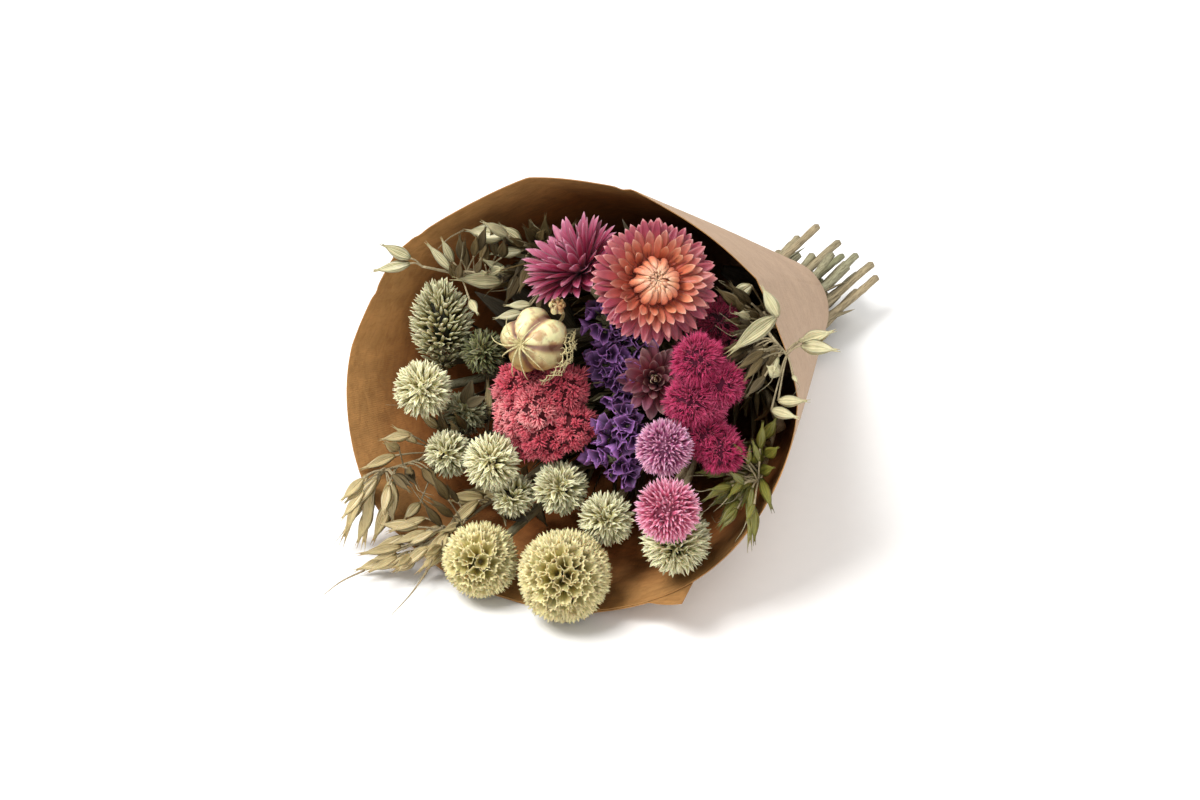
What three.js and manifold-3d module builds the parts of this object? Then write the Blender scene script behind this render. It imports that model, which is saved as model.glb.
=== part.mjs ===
// A bunch of dried flowers in a kraft paper cone, lying on its side.
//
// The bunch is laid out in its own frame, the mouth frame: its origin is the middle of the
// cone's mouth, +X runs across, +Y up the mouth and +Z out of it, towards whoever looks in.
// The stems run back along -Z. The cone leans until its underside lies along the surface.
// All lengths are in millimetres.

import * as THREE from 'three';
import { mergeVertices } from 'three/addons/utils/BufferGeometryUtils.js';
import Module from 'manifold-3d';

const wasm = await Module();
wasm.setup();

// Paper cone
const mouthHalfWidth = 91;
const mouthHalfHeight = 81;
const neckRadius = 23.5;
const paperLength = 188;
const paperThickness = 0.7;
const pressedFlat = 2.4;
const lipLeanBack = 0.24;
const lipLeanSide = 0.12;
const cornerLength = 13;
const cornerAngle = -0.8;
const cornerHalfAngle = 0.12;
const lapEndAngle = -0.72;
const lapStartAngle = -2.3;
const paperSegments = 56;

// Tie and stems
const tieDepth = 132;
const stemRadius = 1.5;
const stemPitch = 3.4;
const tieThickness = 1.6;
const tieWidth = 2.6;
const tieClearance = 1.15;
const tailLength = 42;
const tailLengthSpread = 14;
const tailRise = 14.6;
const neckSpread = [2, 1.75];
const tailSpread = [2.4, 1.6];
const neckBend = 6;
const seatGap = 0.3;

// The cone leans by the angle that puts its lowest line on the surface.
const lean = Math.atan2(mouthHalfHeight - neckRadius, paperLength);
const mouthHeight = mouthHalfHeight * Math.cos(lean) - pressedFlat;
const mouthForward = 64;

const axisZ = new THREE.Vector3(0, 0, 1);
const vec = (x, y, z) => new THREE.Vector3(x, y, z);

// A seeded draw, so that the bunch is the same each time.
function seeded(seed) {
  let state = seed;
  return (low, high) => {
    state = (state * 16807) % 2147483647;
    return low + (high - low) * (state / 2147483647);
  };
}

// ---------------------------------------------------------------- joining solids

function toSolid(geometry) {
  const bare = geometry.clone();
  bare.deleteAttribute('normal');
  bare.deleteAttribute('uv');
  const merged = mergeVertices(bare, 1e-4);
  const corners = merged.index.array;
  const kept = [];
  for (let i = 0; i < corners.length; i += 3) {
    const [a, b, c] = [corners[i], corners[i + 1], corners[i + 2]];
    if (a !== b && b !== c && c !== a) {
      kept.push(a, b, c);
    }
  }
  return new wasm.Manifold(new wasm.Mesh({
    numProp: 3,
    vertProperties: new Float32Array(merged.attributes.position.array),
    triVerts: new Uint32Array(kept),
  }));
}

function toGeometry(solid) {
  const mesh = solid.getMesh();
  const geometry = new THREE.BufferGeometry();
  geometry.setAttribute('position', new THREE.BufferAttribute(mesh.vertProperties, 3));
  geometry.setIndex(new THREE.BufferAttribute(mesh.triVerts, 1));
  return geometry;
}

// Joins geometries into one body. Loose crumbs that touch nothing are dropped.
function fuse(geometries) {
  const whole = geometries.map(toSolid).reduce((sum, next) => sum.add(next));
  const bodies = whole.decompose();
  bodies.sort((a, b) => b.volume() - a.volume());
  return toGeometry(bodies[0]);
}

// ---------------------------------------------------------------- shared forms

// A round rod through the given points, with a radius for each point. `hollow` sinks the
// middle of its far end.
function rod(points, radii, sides, hollow = 0) {
  const geometry = new THREE.CylinderGeometry(1, 1, 1, sides, points.length - 1);
  const position = geometry.attributes.position;
  const rings = points.map((point, i) => {
    const before = points[Math.max(i - 1, 0)];
    const after = points[Math.min(i + 1, points.length - 1)];
    const along = after.clone().sub(before).normalize();
    const guide = Math.abs(along.x) < 0.8 ? vec(1, 0, 0) : vec(0, 1, 0);
    const side = guide.addScaledVector(along, -guide.dot(along)).normalize();
    return { point, side, along, up: side.clone().cross(along), radius: radii[i] };
  });
  for (let i = 0; i < position.count; i += 1) {
    const step = Math.round((position.getY(i) + 0.5) * (points.length - 1));
    const ring = rings[step];
    const middle = Math.hypot(position.getX(i), position.getZ(i)) < 0.1;
    const sunk = middle && step === points.length - 1 ? hollow : 0;
    const moved = ring.point.clone()
      .addScaledVector(ring.side, position.getX(i) * ring.radius)
      .addScaledVector(ring.up, position.getZ(i) * ring.radius)
      .addScaledVector(ring.along, -sunk);
    position.setXYZ(i, moved.x, moved.y, moved.z);
  }
  return geometry;
}

// A pointed blade from root to tip, widest part way along and arched towards `face`.
function blade(root, tip, face, width, thickness, widest, arch) {
  const geometry = new THREE.OctahedronGeometry(1);
  const position = geometry.attributes.position;
  const along = tip.clone().sub(root);
  const outward = face.clone().addScaledVector(along, -face.dot(along) / along.lengthSq()).normalize();
  const across = along.clone().cross(outward).normalize();
  for (let i = 0; i < position.count; i += 1) {
    const [x, y, z] = [position.getX(i), position.getY(i), position.getZ(i)];
    const share = Math.abs(y) > 0.5 ? (y + 1) / 2 : widest;
    const raised = Math.abs(y) > 0.5 ? 0 : arch;
    const moved = root.clone()
      .addScaledVector(along, share)
      .addScaledVector(across, x * width / 2)
      .addScaledVector(outward, raised + z * thickness / 2);
    position.setXYZ(i, moved.x, moved.y, moved.z);
  }
  return geometry;
}

// A ball whose every facet is raised to a point, as a head packed with bracts is. `surface`
// gives the place of the ball's skin in each direction.
function spikyBall(detail, surface, spike, sweep) {
  const base = new THREE.IcosahedronGeometry(1, detail).attributes.position;
  const places = [];
  for (let i = 0; i < base.count; i += 3) {
    const corners = [0, 1, 2].map((k) => vec(0, 0, 0).fromBufferAttribute(base, i + k));
    const middle = corners[0].clone().add(corners[1]).add(corners[2]).normalize();
    const tip = surface(middle).addScaledVector(middle, spike);
    tip.z += sweep;
    const ring = corners.map((corner) => surface(corner));
    for (let k = 0; k < 3; k += 1) {
      places.push(ring[k], ring[(k + 1) % 3], tip);
    }
  }
  return new THREE.BufferGeometry().setFromPoints(places);
}

// The skin of an egg with its long axis along Z.
const eggSkin = (halfWidth, halfLength) => (way) => (
  vec(way.x * halfWidth, way.y * halfWidth, way.z * halfLength)
);

// The skin round a group of balls, seen from the middle of the group.
function lobedSkin(lobes) {
  return (way) => {
    const reaches = lobes.map(([x, y, z, radius]) => {
      const centre = vec(x, y, z);
      const along = way.dot(centre);
      const square = along * along - centre.lengthSq() + radius * radius;
      return square > 0 ? along + Math.sqrt(square) : 0;
    });
    return way.clone().multiplyScalar(Math.max(...reaches));
  };
}

// A ball covered with open cups: each corner of the ball is sunk and its surround is raised.
function cupBall(detail, radius, cupDepth, tooth) {
  const base = new THREE.IcosahedronGeometry(1, detail).attributes.position;
  const places = [];
  for (let i = 0; i < base.count; i += 3) {
    const corners = [0, 1, 2].map((k) => vec(0, 0, 0).fromBufferAttribute(base, i + k));
    const middle = corners[0].clone().add(corners[1]).add(corners[2]).normalize();
    const top = middle.multiplyScalar(radius);
    const floors = corners.map((corner) => corner.clone().multiplyScalar(radius - cupDepth));
    for (let k = 0; k < 3; k += 1) {
      const next = (k + 1) % 3;
      const rim = corners[k].clone().add(corners[next]).normalize().multiplyScalar(radius - tooth);
      places.push(floors[k], rim, top, rim, floors[next], top);
    }
  }
  return new THREE.BufferGeometry().setFromPoints(places);
}

const turnTo = (facing) => new THREE.Quaternion().setFromUnitVectors(axisZ, facing.clone().normalize());

function placed(geometry, at, facing) {
  return geometry.applyQuaternion(turnTo(facing)).translate(at.x, at.y, at.z);
}

// ---------------------------------------------------------------- the paper cone

// One sheet rolled into a cone: its lip leans back at the top and to one side, and the corner
// of the sheet stands out where the lap ends. The underside is pressed flat on the surface.
function paperCone() {
  const profile = [
    new THREE.Vector2(2, 0),
    new THREE.Vector2(2, 1),
    new THREE.Vector2(2, 2),
    new THREE.Vector2(1, 2),
    new THREE.Vector2(1, 1),
    new THREE.Vector2(1, 0),
    new THREE.Vector2(2, 0),
  ];
  const geometry = new THREE.LatheGeometry(profile, paperSegments);
  const position = geometry.attributes.position;
  const sinLean = Math.sin(lean);
  const cosLean = Math.cos(lean);
  for (let i = 0; i < position.count; i += 1) {
    const [x, y, z] = [position.getX(i), position.getY(i), position.getZ(i)];
    const outer = Math.hypot(x, z) > 1.5;
    const angle = Math.atan2(z, x);
    const nearCorner = Math.max(0, 1 - Math.abs(angle - cornerAngle) / cornerHalfAngle);
    const lip = lipLeanBack * mouthHalfHeight * Math.sin(angle)
      + lipLeanSide * mouthHalfWidth * Math.cos(angle)
      - cornerLength * nearCorner;
    const depth = lip + (paperLength - lip) * (y / 2);
    const open = 1 - depth / paperLength;
    const lapped = angle > lapStartAngle && angle < lapEndAngle;
    const grow = outer ? paperThickness * (lapped ? 1 : 0) : -paperThickness;
    const halfWidth = neckRadius + (mouthHalfWidth - neckRadius) * open + grow;
    const halfHeight = neckRadius + (mouthHalfHeight - neckRadius) * open + grow;
    const across = halfWidth * Math.cos(angle);
    const up = halfHeight * Math.sin(angle);
    const height = mouthHeight + up * cosLean - depth * sinLean;
    const back = -mouthForward + up * sinLean + depth * cosLean;
    const lowest = outer ? 0 : paperThickness;
    position.setXYZ(i, across, back, Math.max(height, lowest));
  }
  return toGeometry(toSolid(geometry));
}

// ---------------------------------------------------------------- heads

// Petals in layers round a core. Each layer gives the number of petals, their angle from the
// way the flower faces, their length and their width.
function strawflower(layers, coreRadius, neckDepth) {
  const core = new THREE.SphereGeometry(coreRadius, 8, 5);
  core.rotateX(Math.PI / 2);
  core.scale(1, 1, 0.7);
  const neck = new THREE.CylinderGeometry(coreRadius * 0.7, 2.4, neckDepth, 6);
  neck.rotateX(Math.PI / 2);
  neck.translate(0, 0, -neckDepth / 2);
  const petals = layers.flatMap(([count, tilt, length, width], layer) => {
    const lift = layer * 0.9;
    return Array.from({ length: count }, (_, i) => {
      const turn = (i + 0.5 * (layer % 2)) * 2 * Math.PI / count + layer * 0.21;
      const radial = vec(Math.cos(turn), Math.sin(turn), 0);
      const along = radial.clone().multiplyScalar(Math.sin(tilt)).add(vec(0, 0, Math.cos(tilt)));
      const face = radial.clone().multiplyScalar(-Math.cos(tilt)).add(vec(0, 0, Math.sin(tilt)));
      const root = along.clone().multiplyScalar(coreRadius * 0.55).add(vec(0, 0, lift - 1.5));
      const tip = along.clone().multiplyScalar(length).add(vec(0, 0, lift - 1.5));
      return blade(root, tip, face, width, 1.3, 0.62, -0.6);
    });
  });
  return fuse([core, neck, ...petals]);
}

// A lobed seed pod with horns at its top and a ruff of thread-like bracts under it.
function nigellaPod(radius, neckDepth) {
  const pod = new THREE.SphereGeometry(radius, 15, 7);
  pod.rotateX(Math.PI / 2);
  const position = pod.attributes.position;
  for (let i = 0; i < position.count; i += 1) {
    const angle = Math.atan2(position.getY(i), position.getX(i));
    const furrow = 1 - 0.11 * (0.5 + 0.5 * Math.cos(5 * angle));
    position.setX(i, position.getX(i) * furrow);
    position.setY(i, position.getY(i) * furrow);
  }
  const neck = new THREE.CylinderGeometry(3, 1.9, neckDepth - radius + 3, 6);
  neck.rotateX(Math.PI / 2);
  neck.translate(0, 0, -(neckDepth + radius - 3) / 2);
  const horns = Array.from({ length: 6 }, (_, i) => {
    const turn = i * Math.PI / 3;
    const out = vec(Math.cos(turn), Math.sin(turn), 0);
    const points = [
      vec(0, 0, radius - 2),
      out.clone().multiplyScalar(5).add(vec(0, 0, radius + 1.6)),
      out.clone().multiplyScalar(10.5).add(vec(0, 0, radius - 1)),
    ];
    return rod(points, [1, 0.75, 0.35], 3);
  });
  const bracts = Array.from({ length: 7 }, (_, i) => {
    const turn = (i + 0.4) * 2 * Math.PI / 7;
    const out = vec(Math.cos(turn), Math.sin(turn), 0);
    const points = [
      vec(0, 0, -radius - 0.5),
      out.clone().multiplyScalar(radius * 0.85).add(vec(0, 0, -radius * 0.85)),
      out.clone().multiplyScalar(radius + 1.6).add(vec(0, 0, -radius * 0.1)),
      out.clone().multiplyScalar(radius + 0.6).add(vec(0, 0, radius * 0.4)),
    ];
    return rod(points, [0.7, 0.6, 0.5, 0.35], 3);
  });
  return fuse([pod, neck, ...horns, ...bracts]);
}

// A cockscomb head: plush lobes round its middle, set all over with points, on a short neck.
function cockscomb(detail, lobes, neckDepth) {
  const head = spikyBall(detail, lobedSkin(lobes), 2.2, 0);
  const neck = new THREE.CylinderGeometry(5, 2.2, neckDepth, 6);
  neck.rotateX(Math.PI / 2);
  neck.translate(0, 0, -neckDepth / 2);
  return fuse([head, neck]);
}

function globeAmaranth(radius, neckDepth) {
  const head = spikyBall(2, eggSkin(radius * 0.86, radius * 0.84), radius * 0.16, 1);
  const neck = new THREE.CylinderGeometry(3.4, 1.9, neckDepth - radius * 0.6, 6);
  neck.rotateX(Math.PI / 2);
  neck.translate(0, 0, -(neckDepth + radius * 0.6) / 2);
  return fuse([head, neck]);
}

// ---------------------------------------------------------------- what stands where

// Where each head stands in the mouth frame, the way it faces, and how far behind its middle
// its stem meets it.
const towardsViewer = [0.44, 0.3, 0.85];
const blooms = [
  {
    name: 'coral_strawflower',
    at: [32, 51, 11],
    facing: [0.42, 0.36, 0.84],
    base: 9,
    color: 0xe07a68,
    build: () => strawflower([
      [14, 1.5, 20, 5.2], [12, 1.22, 18.5, 5.2], [9, 0.9, 16, 5], [6, 0.5, 12.5, 4.4],
    ], 6.5, 9),
  },
  {
    name: 'magenta_strawflower',
    at: [-9, 43, -3],
    facing: [-0.3, 0.62, 0.72],
    base: 9,
    color: 0xb5487a,
    build: () => strawflower([
      [12, 1.6, 16.5, 4.6], [11, 1.25, 18, 4.6], [9, 0.9, 19, 4.4], [6, 0.45, 18, 4.2],
    ], 6, 9),
  },
  {
    name: 'rose_strawflower',
    at: [26, 6, -15],
    facing: towardsViewer,
    base: 7,
    color: 0xa84a62,
    build: () => strawflower([
      [9, 1.1, 9.5, 4], [6, 0.7, 9.5, 3.8], [4, 0.3, 8.5, 3],
    ], 4, 7),
  },
  {
    name: 'nigella_pod',
    at: [-15, 16, 10],
    facing: [0.08, 0.06, 0.99],
    base: 16,
    color: 0xe2d39a,
    build: () => nigellaPod(12.2, 16),
  },
  {
    name: 'red_cockscomb',
    at: [-11, -13, -1],
    facing: [-0.1, -0.1, 0.99],
    base: 17,
    color: 0xa82840,
    build: () => cockscomb(2, [
      [-9, 7, 3, 8.2], [5, 9, -1, 8.8], [-14, -10, -2, 7.2], [5, -8, 5, 8.8],
      [14, -5, 1, 6.8], [2, 3, 9, 7], [-4, -3, 2, 10], [0, 0, 0, 9],
    ], 17),
  },
  {
    name: 'magenta_cockscomb',
    at: [57, 9, 4],
    facing: [0.35, 0, 0.94],
    base: 15,
    color: 0x9e1650,
    build: () => cockscomb(2, [
      [-6, 18, 3, 8], [3, 9, 0, 6.8], [-5, 1, 3, 8.2], [1, -12, 0, 7.6], [10, -12, 0, 6.6],
      [0, 0, 0, 6.5],
    ], 15),
  },
  {
    name: 'dark_cockscomb',
    at: [50, 35, -17],
    facing: [0.3, 0.2, 0.93],
    base: 11,
    color: 0x7a1230,
    build: () => cockscomb(1, [[0, 0, 0, 6.4], [4, -4, -2, 5.5]], 11),
  },
  {
    name: 'mauve_globe_amaranth',
    at: [49.5, -8, 19.5],
    facing: [0.35, 0, 0.94],
    base: 11,
    color: 0xb06a98,
    build: () => globeAmaranth(10.6, 11),
  },
  {
    name: 'pink_globe_amaranth',
    at: [59, -28, 27],
    facing: [0.35, -0.1, 0.93],
    base: 12.5,
    color: 0xc8619a,
    build: () => globeAmaranth(12.2, 12.5),
  },
];

// Canary grass: place, way the tip points, half the width and half the length of the head.
const canaryHeads = [
  ['canary_grass_tall', [-71, 3, -12], [0, 0.95, 0.32], 10.5, 16, 0xb9bb86],
  ['canary_grass_left', [-64, -20, 4], towardsViewer, 11, 12.5, 0xe0ddae],
  ['canary_grass_dark', [-52, -4, -16], towardsViewer, 7.2, 9, 0x4a4e30],
  ['canary_grass_deep', [-58, -33, -17], towardsViewer, 7.6, 9, 0x7c805a],
  ['canary_grass_low_left', [-50, -43, 3], towardsViewer, 9.2, 10, 0xc9c795],
  ['canary_grass_bright', [-24, -36, 14], towardsViewer, 10.8, 11.5, 0xe6e6b8],
  ['canary_grass_behind', [-19, -52, -5], [0.3, -0.1, 0.95], 8.2, 9.5, 0xa9aa78],
  ['canary_grass_middle', [3, -41, 3], towardsViewer, 10, 11, 0xbcb986],
  ['canary_grass_right', [24, -46, 4], towardsViewer, 10, 11, 0xd6d2a0],
  ['canary_grass_big', [54.5, -46, 6], [0.5, -0.3, 0.81], 12.6, 13.5, 0xd0cb9c],
];

// Heads of open cups: place, facing, radius, fineness, cup depth.
const cupHeads = [
  ['cup_seed_head_left', [-14, -70, 28], [0.2, -0.05, 0.97], 14, 1, 4.4],
  ['cup_seed_head_front', [21, -65, 25], [0.25, 0.1, 0.96], 17.6, 2, 4.4],
];

// Statice: the cups grow in clusters along a branched stem. Each cluster gives its place.
const staticeSprays = [
  {
    name: 'statice_upper',
    fork: [10, 9, -26],
    clusters: [[3, 27, -7], [12, 19, -12], [7, 5, -7], [13, -3, -9]],
    seed: 11,
  },
  {
    name: 'statice_lower',
    fork: [21, -20, -18],
    clusters: [[23, -10, 2], [21, -20, -3], [20, -29, 1]],
    seed: 29,
  },
];

// Oats: each spray has a stalk that ends in a few joints, and spikelets from root to tip.
// A spikelet gives the joint that it hangs from, its root, its tip and its width.
const oatSprays = [
  {
    name: 'oats_upper_left',
    joints: [[-54, 26, -30], [-60, 27, -6], [-68, 30, 10]],
    spikelets: [
      [2, [-71, 33, 14], [-82, 37, 20], 4.6], [2, [-71, 31, 14], [-85, 25, 20], 4.2],
      [1, [-61, 29, 0], [-71, 39, 6], 4], [1, [-63, 31, -4], [-68, 41, 0], 3.6],
      [0, [-46, 26, -14], [-58, 27, 4], 6], [0, [-48, 28, -22], [-58, 33, -14], 3.6],
    ],
    awns: [],
  },
  {
    name: 'oats_top',
    joints: [[-34, 34, -44], [-42, 38, -28]],
    spikelets: [
      [1, [-50, 44, -18], [-67, 43, -13], 6.6], [1, [-43, 42, -20], [-52, 48, -14], 5],
      [1, [-44, 38, -22], [-57, 34, -18], 4.4], [1, [-50, 43, -24], [-57, 51, -22], 3],
      [0, [-38, 41, -30], [-45, 50, -27], 3],
    ],
    awns: [[[-66, 43, -13], [-70, 39, -10], [-72, 34, -6]]],
  },
  {
    name: 'oats_right',
    joints: [[57, 36, -42], [66, 36.5, -20], [80, 32, -8]],
    spikelets: [
      [0, [54, 49, -25], [47, 41, -22], 5], [1, [71, 43, -15], [62, 53, -15], 5],
      [1, [74, 45, -6], [66, 32, 13], 6.4], [2, [85, 37, -8], [101, 40, -5], 5],
      [2, [84, 38, -10], [97, 46, -8], 5], [2, [80, 25, -5], [76, 28, -1], 5],
      [2, [82, 16, -3], [96, 21, 2], 4], [2, [80, 12, -3], [94, 14, 3], 4],
    ],
    awns: [],
  },
  {
    name: 'oats_right_green',
    joints: [[66, -8, -44], [74, -14, -22]],
    spikelets: [
      [1, [75, -3, -13], [80, 8, -10], 4.4], [1, [77, -9, -12], [84, -2, -7], 4.4],
      [1, [76, -15, -11], [84, -10, -7], 4.4], [1, [75, -19, -8], [86, -39, 7], 3.6],
      [1, [72, -20, -10], [72, -35, 0], 3.6], [0, [69, -16, -16], [64, -24, -4], 3.2],
      [1, [79, -16, -8], [91, -23, 4], 3.6],
    ],
    awns: [],
  },
  {
    name: 'oats_lower_left',
    joints: [[-44, -42, -36], [-60, -49, -10], [-66, -51, 20]],
    spikelets: [
      [1, [-67, -40, 4], [-76, -43, 13], 4], [1, [-66, -44, 0], [-75, -38, 6], 3.6],
      [1, [-69, -48, 10], [-77, -54, 23], 4.4], [2, [-72, -54, 24], [-75, -83, 31], 5.4],
      [2, [-69, -57, 24], [-66, -83, 29], 5], [2, [-62, -54, 22], [-55, -69, 27], 6],
      [2, [-60, -61, 23], [-63, -80, 28], 5], [1, [-52, -62, 14], [-54, -68, 22], 4],
    ],
    awns: [],
  },
  {
    name: 'oats_bottom_left',
    joints: [[-26, -50, -36], [-32, -60, -6], [-36, -68, 16], [-44, -76, 28]],
    spikelets: [
      [1, [-33, -58, 2], [-38, -69, 18], 5], [3, [-46, -78, 30], [-57, -85, 42], 5],
      [3, [-42, -78, 28], [-47, -84, 36], 5], [2, [-34, -71, 20], [-34, -80, 32], 6],
      [2, [-38, -66, 18], [-50, -78, 26], 4],
    ],
    awns: [
      [[-56, -84.5, 41], [-60, -88, 50], [-62, -92, 58]],
      [[-34, -80, 31], [-33, -86, 42], [-33, -91.5, 54]],
    ],
  },
];

// ---------------------------------------------------------------- stems through the tie

// Stems are packed in rings at the tie.
const slots = [[0, 0]];
for (let ring = 1; ring <= 3; ring += 1) {
  for (let i = 0; i < 6 * ring; i += 1) {
    const side = Math.floor(i / ring);
    const along = i % ring;
    const from = side * Math.PI / 3;
    const to = (side + 1) * Math.PI / 3;
    const share = along / ring;
    slots.push([
      stemPitch * ring * (Math.cos(from) * (1 - share) + Math.cos(to) * share),
      stemPitch * ring * (Math.sin(from) * (1 - share) + Math.sin(to) * share),
    ]);
  }
}

// Everything that has a stem, with the point that the stem has to reach.
const stemmed = [
  ...blooms.map(({ name, at, facing, base }) => {
    const way = vec(...facing).normalize();
    return { name, end: vec(...at).addScaledVector(way, -base - seatGap), way };
  }),
  ...canaryHeads.map(([name, at, facing, , halfLength]) => {
    const way = vec(...facing).normalize();
    return { name, end: vec(...at).addScaledVector(way, -halfLength * 0.6), way };
  }),
  ...cupHeads.map(([name, at, facing, radius]) => {
    const way = vec(...facing).normalize();
    return { name, end: vec(...at).addScaledVector(way, -radius * 0.5), way };
  }),
  ...staticeSprays.map(({ name, fork }) => ({ name, end: vec(...fork), way: vec(0, 0, 1) })),
  ...oatSprays.map(({ name, joints }) => ({ name, end: vec(...joints[0]), way: vec(0, 0, 1) })),
];

// Each stem takes the slot that lies its own way from the middle: two stems change places
// as long as that shortens the pair, so no two of them cross.
const outermost = stemPitch * 3;
const wanted = stemmed.map(({ end, way }) => {
  const bend = end.clone().addScaledVector(way, -neckBend);
  const run = outermost * tieDepth / (bend.z + tieDepth);
  return [run * bend.x / mouthHalfWidth, run * bend.y / mouthHalfHeight];
});
const reach = (stem, slot) => {
  const [x, y] = wanted[stem];
  return (x - slots[slot][0]) ** 2 + (y - slots[slot][1]) ** 2;
};
const slotOf = stemmed.map((_, i) => i);
const spare = slots.map((_, i) => i).filter((slot) => slot >= stemmed.length);
for (let moved = true; moved;) {
  moved = false;
  for (let a = 0; a < stemmed.length; a += 1) {
    for (let b = 0; b < a; b += 1) {
      const now = reach(a, slotOf[a]) + reach(b, slotOf[b]);
      const swapped = reach(a, slotOf[b]) + reach(b, slotOf[a]);
      if (swapped < now - 1e-9) {
        [slotOf[a], slotOf[b]] = [slotOf[b], slotOf[a]];
        moved = true;
      }
    }
    for (let k = 0; k < spare.length; k += 1) {
      if (reach(a, spare[k]) < reach(a, slotOf[a]) - 1e-9) {
        [slotOf[a], spare[k]] = [spare[k], slotOf[a]];
        moved = true;
      }
    }
  }
}

const drawTail = seeded(7);
const stems = new Map(stemmed.map(({ name, end, way }, i) => {
  const [x, y] = slots[slotOf[i]];
  const tail = tailLength + drawTail(-tailLengthSpread, tailLengthSpread);
  const slot = vec(x, y, -tieDepth);
  const approach = end.clone().addScaledVector(way, -neckBend);
  const points = [
    vec(x * tailSpread[0], y * tailSpread[1] + tailRise, -paperLength - tail),
    vec(x * neckSpread[0], y * neckSpread[1], -paperLength),
    slot,
    approach,
    end,
  ];
  return [name, points];
}));
const stemRod = (name) => rod(stems.get(name), Array(5).fill(stemRadius), 5);

// ---------------------------------------------------------------- sprays

// Statice: funnels with hollow mouths, each on a stalk from the middle of its cluster.
function staticeSpray({ name, fork, clusters, seed }) {
  const draw = seeded(seed);
  const pieces = [stemRod(name)];
  const branching = vec(...fork);
  for (const cluster of clusters) {
    const outward = vec(...cluster).sub(branching).normalize();
    const hub = vec(...cluster).addScaledVector(outward, -6);
    pieces.push(rod([branching.clone().addScaledVector(outward, -1), hub], [0.9, 0.9], 4));
    for (let i = 0; i < 4; i += 1) {
      const turn = i * Math.PI / 2 + draw(0, 0.5);
      const splay = vec(Math.cos(turn), Math.sin(turn), 0);
      const way = splay.clone().multiplyScalar(0.45).add(vec(0.25, 0.15, 0.95)).normalize();
      const root = hub.clone().addScaledVector(splay, 2.4).addScaledVector(way, 1.5);
      const mouth = root.clone().addScaledVector(way, draw(6, 7));
      const start = hub.clone().addScaledVector(splay, 0.5).addScaledVector(outward, -0.6);
      pieces.push(rod([start, root, mouth], [0.4, 0.6, draw(2.2, 2.6)], 5, 3.5));
    }
  }
  return fuse(pieces);
}

// A spikelet on its own thin stalk: a husk drawn out to a point.
function spikelet(joint, root, tip, width) {
  const belly = root.clone().lerp(tip, 0.4);
  return rod([joint, root, belly, tip], [0.5, 0.5, width / 2, 0.2], 4);
}

function oatSpray({ name, joints, spikelets, awns }) {
  const places = joints.map((joint) => vec(...joint));
  const first = places[0].clone().add(vec(0, 0, -1));
  const stalk = rod([first, ...places.slice(1)], places.map((_, i) => 1 - 0.12 * i), 4);
  const pieces = [stemRod(name), stalk];
  for (const [joint, root, tip, width] of spikelets) {
    pieces.push(spikelet(places[joint], vec(...root), vec(...tip), width));
  }
  for (const awn of awns) {
    pieces.push(rod(awn.map((place) => vec(...place)), [0.5, 0.4, 0.3], 3));
  }
  return fuse(pieces);
}

// ---------------------------------------------------------------- the whole object

const whole = new THREE.Group();
const bunch = new THREE.Group();
bunch.rotation.x = Math.PI / 2 - lean;
bunch.position.set(0, -mouthForward, mouthHeight);
whole.add(bunch);

function addMesh(parent, name, geometry, color) {
  const material = new THREE.MeshStandardMaterial({ color, roughness: 0.85, metalness: 0 });
  const mesh = new THREE.Mesh(geometry, material);
  mesh.name = name;
  parent.add(mesh);
  return mesh;
}

addMesh(whole, 'paper_wrap', paperCone(), 0xb07c48);

const tieInner = outermost + stemRadius + tieClearance;
const tie = new THREE.LatheGeometry([
  new THREE.Vector2(tieInner, -tieWidth / 2),
  new THREE.Vector2(tieInner + tieThickness, -tieWidth / 4),
  new THREE.Vector2(tieInner + tieThickness, tieWidth / 4),
  new THREE.Vector2(tieInner, tieWidth / 2),
  new THREE.Vector2(tieInner, -tieWidth / 2),
], 18);
tie.rotateX(Math.PI / 2);
addMesh(bunch, 'stem_tie', toGeometry(toSolid(tie)), 0xc9a968).position.z = -tieDepth;

for (const { name, at, facing, color, build } of blooms) {
  const head = addMesh(bunch, name, build(), color);
  head.position.set(...at);
  head.quaternion.copy(turnTo(vec(...facing)));
  addMesh(bunch, `${name}_stem`, toGeometry(toSolid(stemRod(name))), 0xb8b79c);
}

canaryHeads.forEach(([name, at, facing, halfWidth, halfLength, color], i) => {
  const head = spikyBall(1, eggSkin(halfWidth * 0.84, halfLength * 0.84), halfWidth * 0.22, 1.5);
  head.rotateZ(i * 0.5);
  placed(head, vec(...at), vec(...facing));
  addMesh(bunch, name, fuse([stemRod(name), head]), color);
});

for (const [name, at, facing, radius, fineness, cupDepth] of cupHeads) {
  const head = placed(cupBall(fineness, radius, cupDepth, 1), vec(...at), vec(...facing));
  addMesh(bunch, name, fuse([stemRod(name), head]), 0xd1c99d);
}

for (const spray of staticeSprays) {
  addMesh(bunch, spray.name, staticeSpray(spray), 0x6a3fa0);
}

for (const spray of oatSprays) {
  addMesh(bunch, spray.name, oatSpray(spray), spray.name.includes('green') ? 0x7a7f2e : 0xcfc79a);
}

export default whole;
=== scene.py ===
"""A mixed bunch of dried flowers, tied and rolled in a kraft paper cone, lying on its side.

Shapes are worked out in millimetres in the mouth frame: its origin is the middle of the
cone's mouth, +X runs across it, +Y up it and +Z out of it. A finished piece is then placed in
the object's own frame, in metres.
"""

import math

import bpy
import numpy as np
from bpy.props import FloatProperty, FloatVectorProperty, IntProperty, PointerProperty
from mathutils import Matrix, Vector


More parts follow.
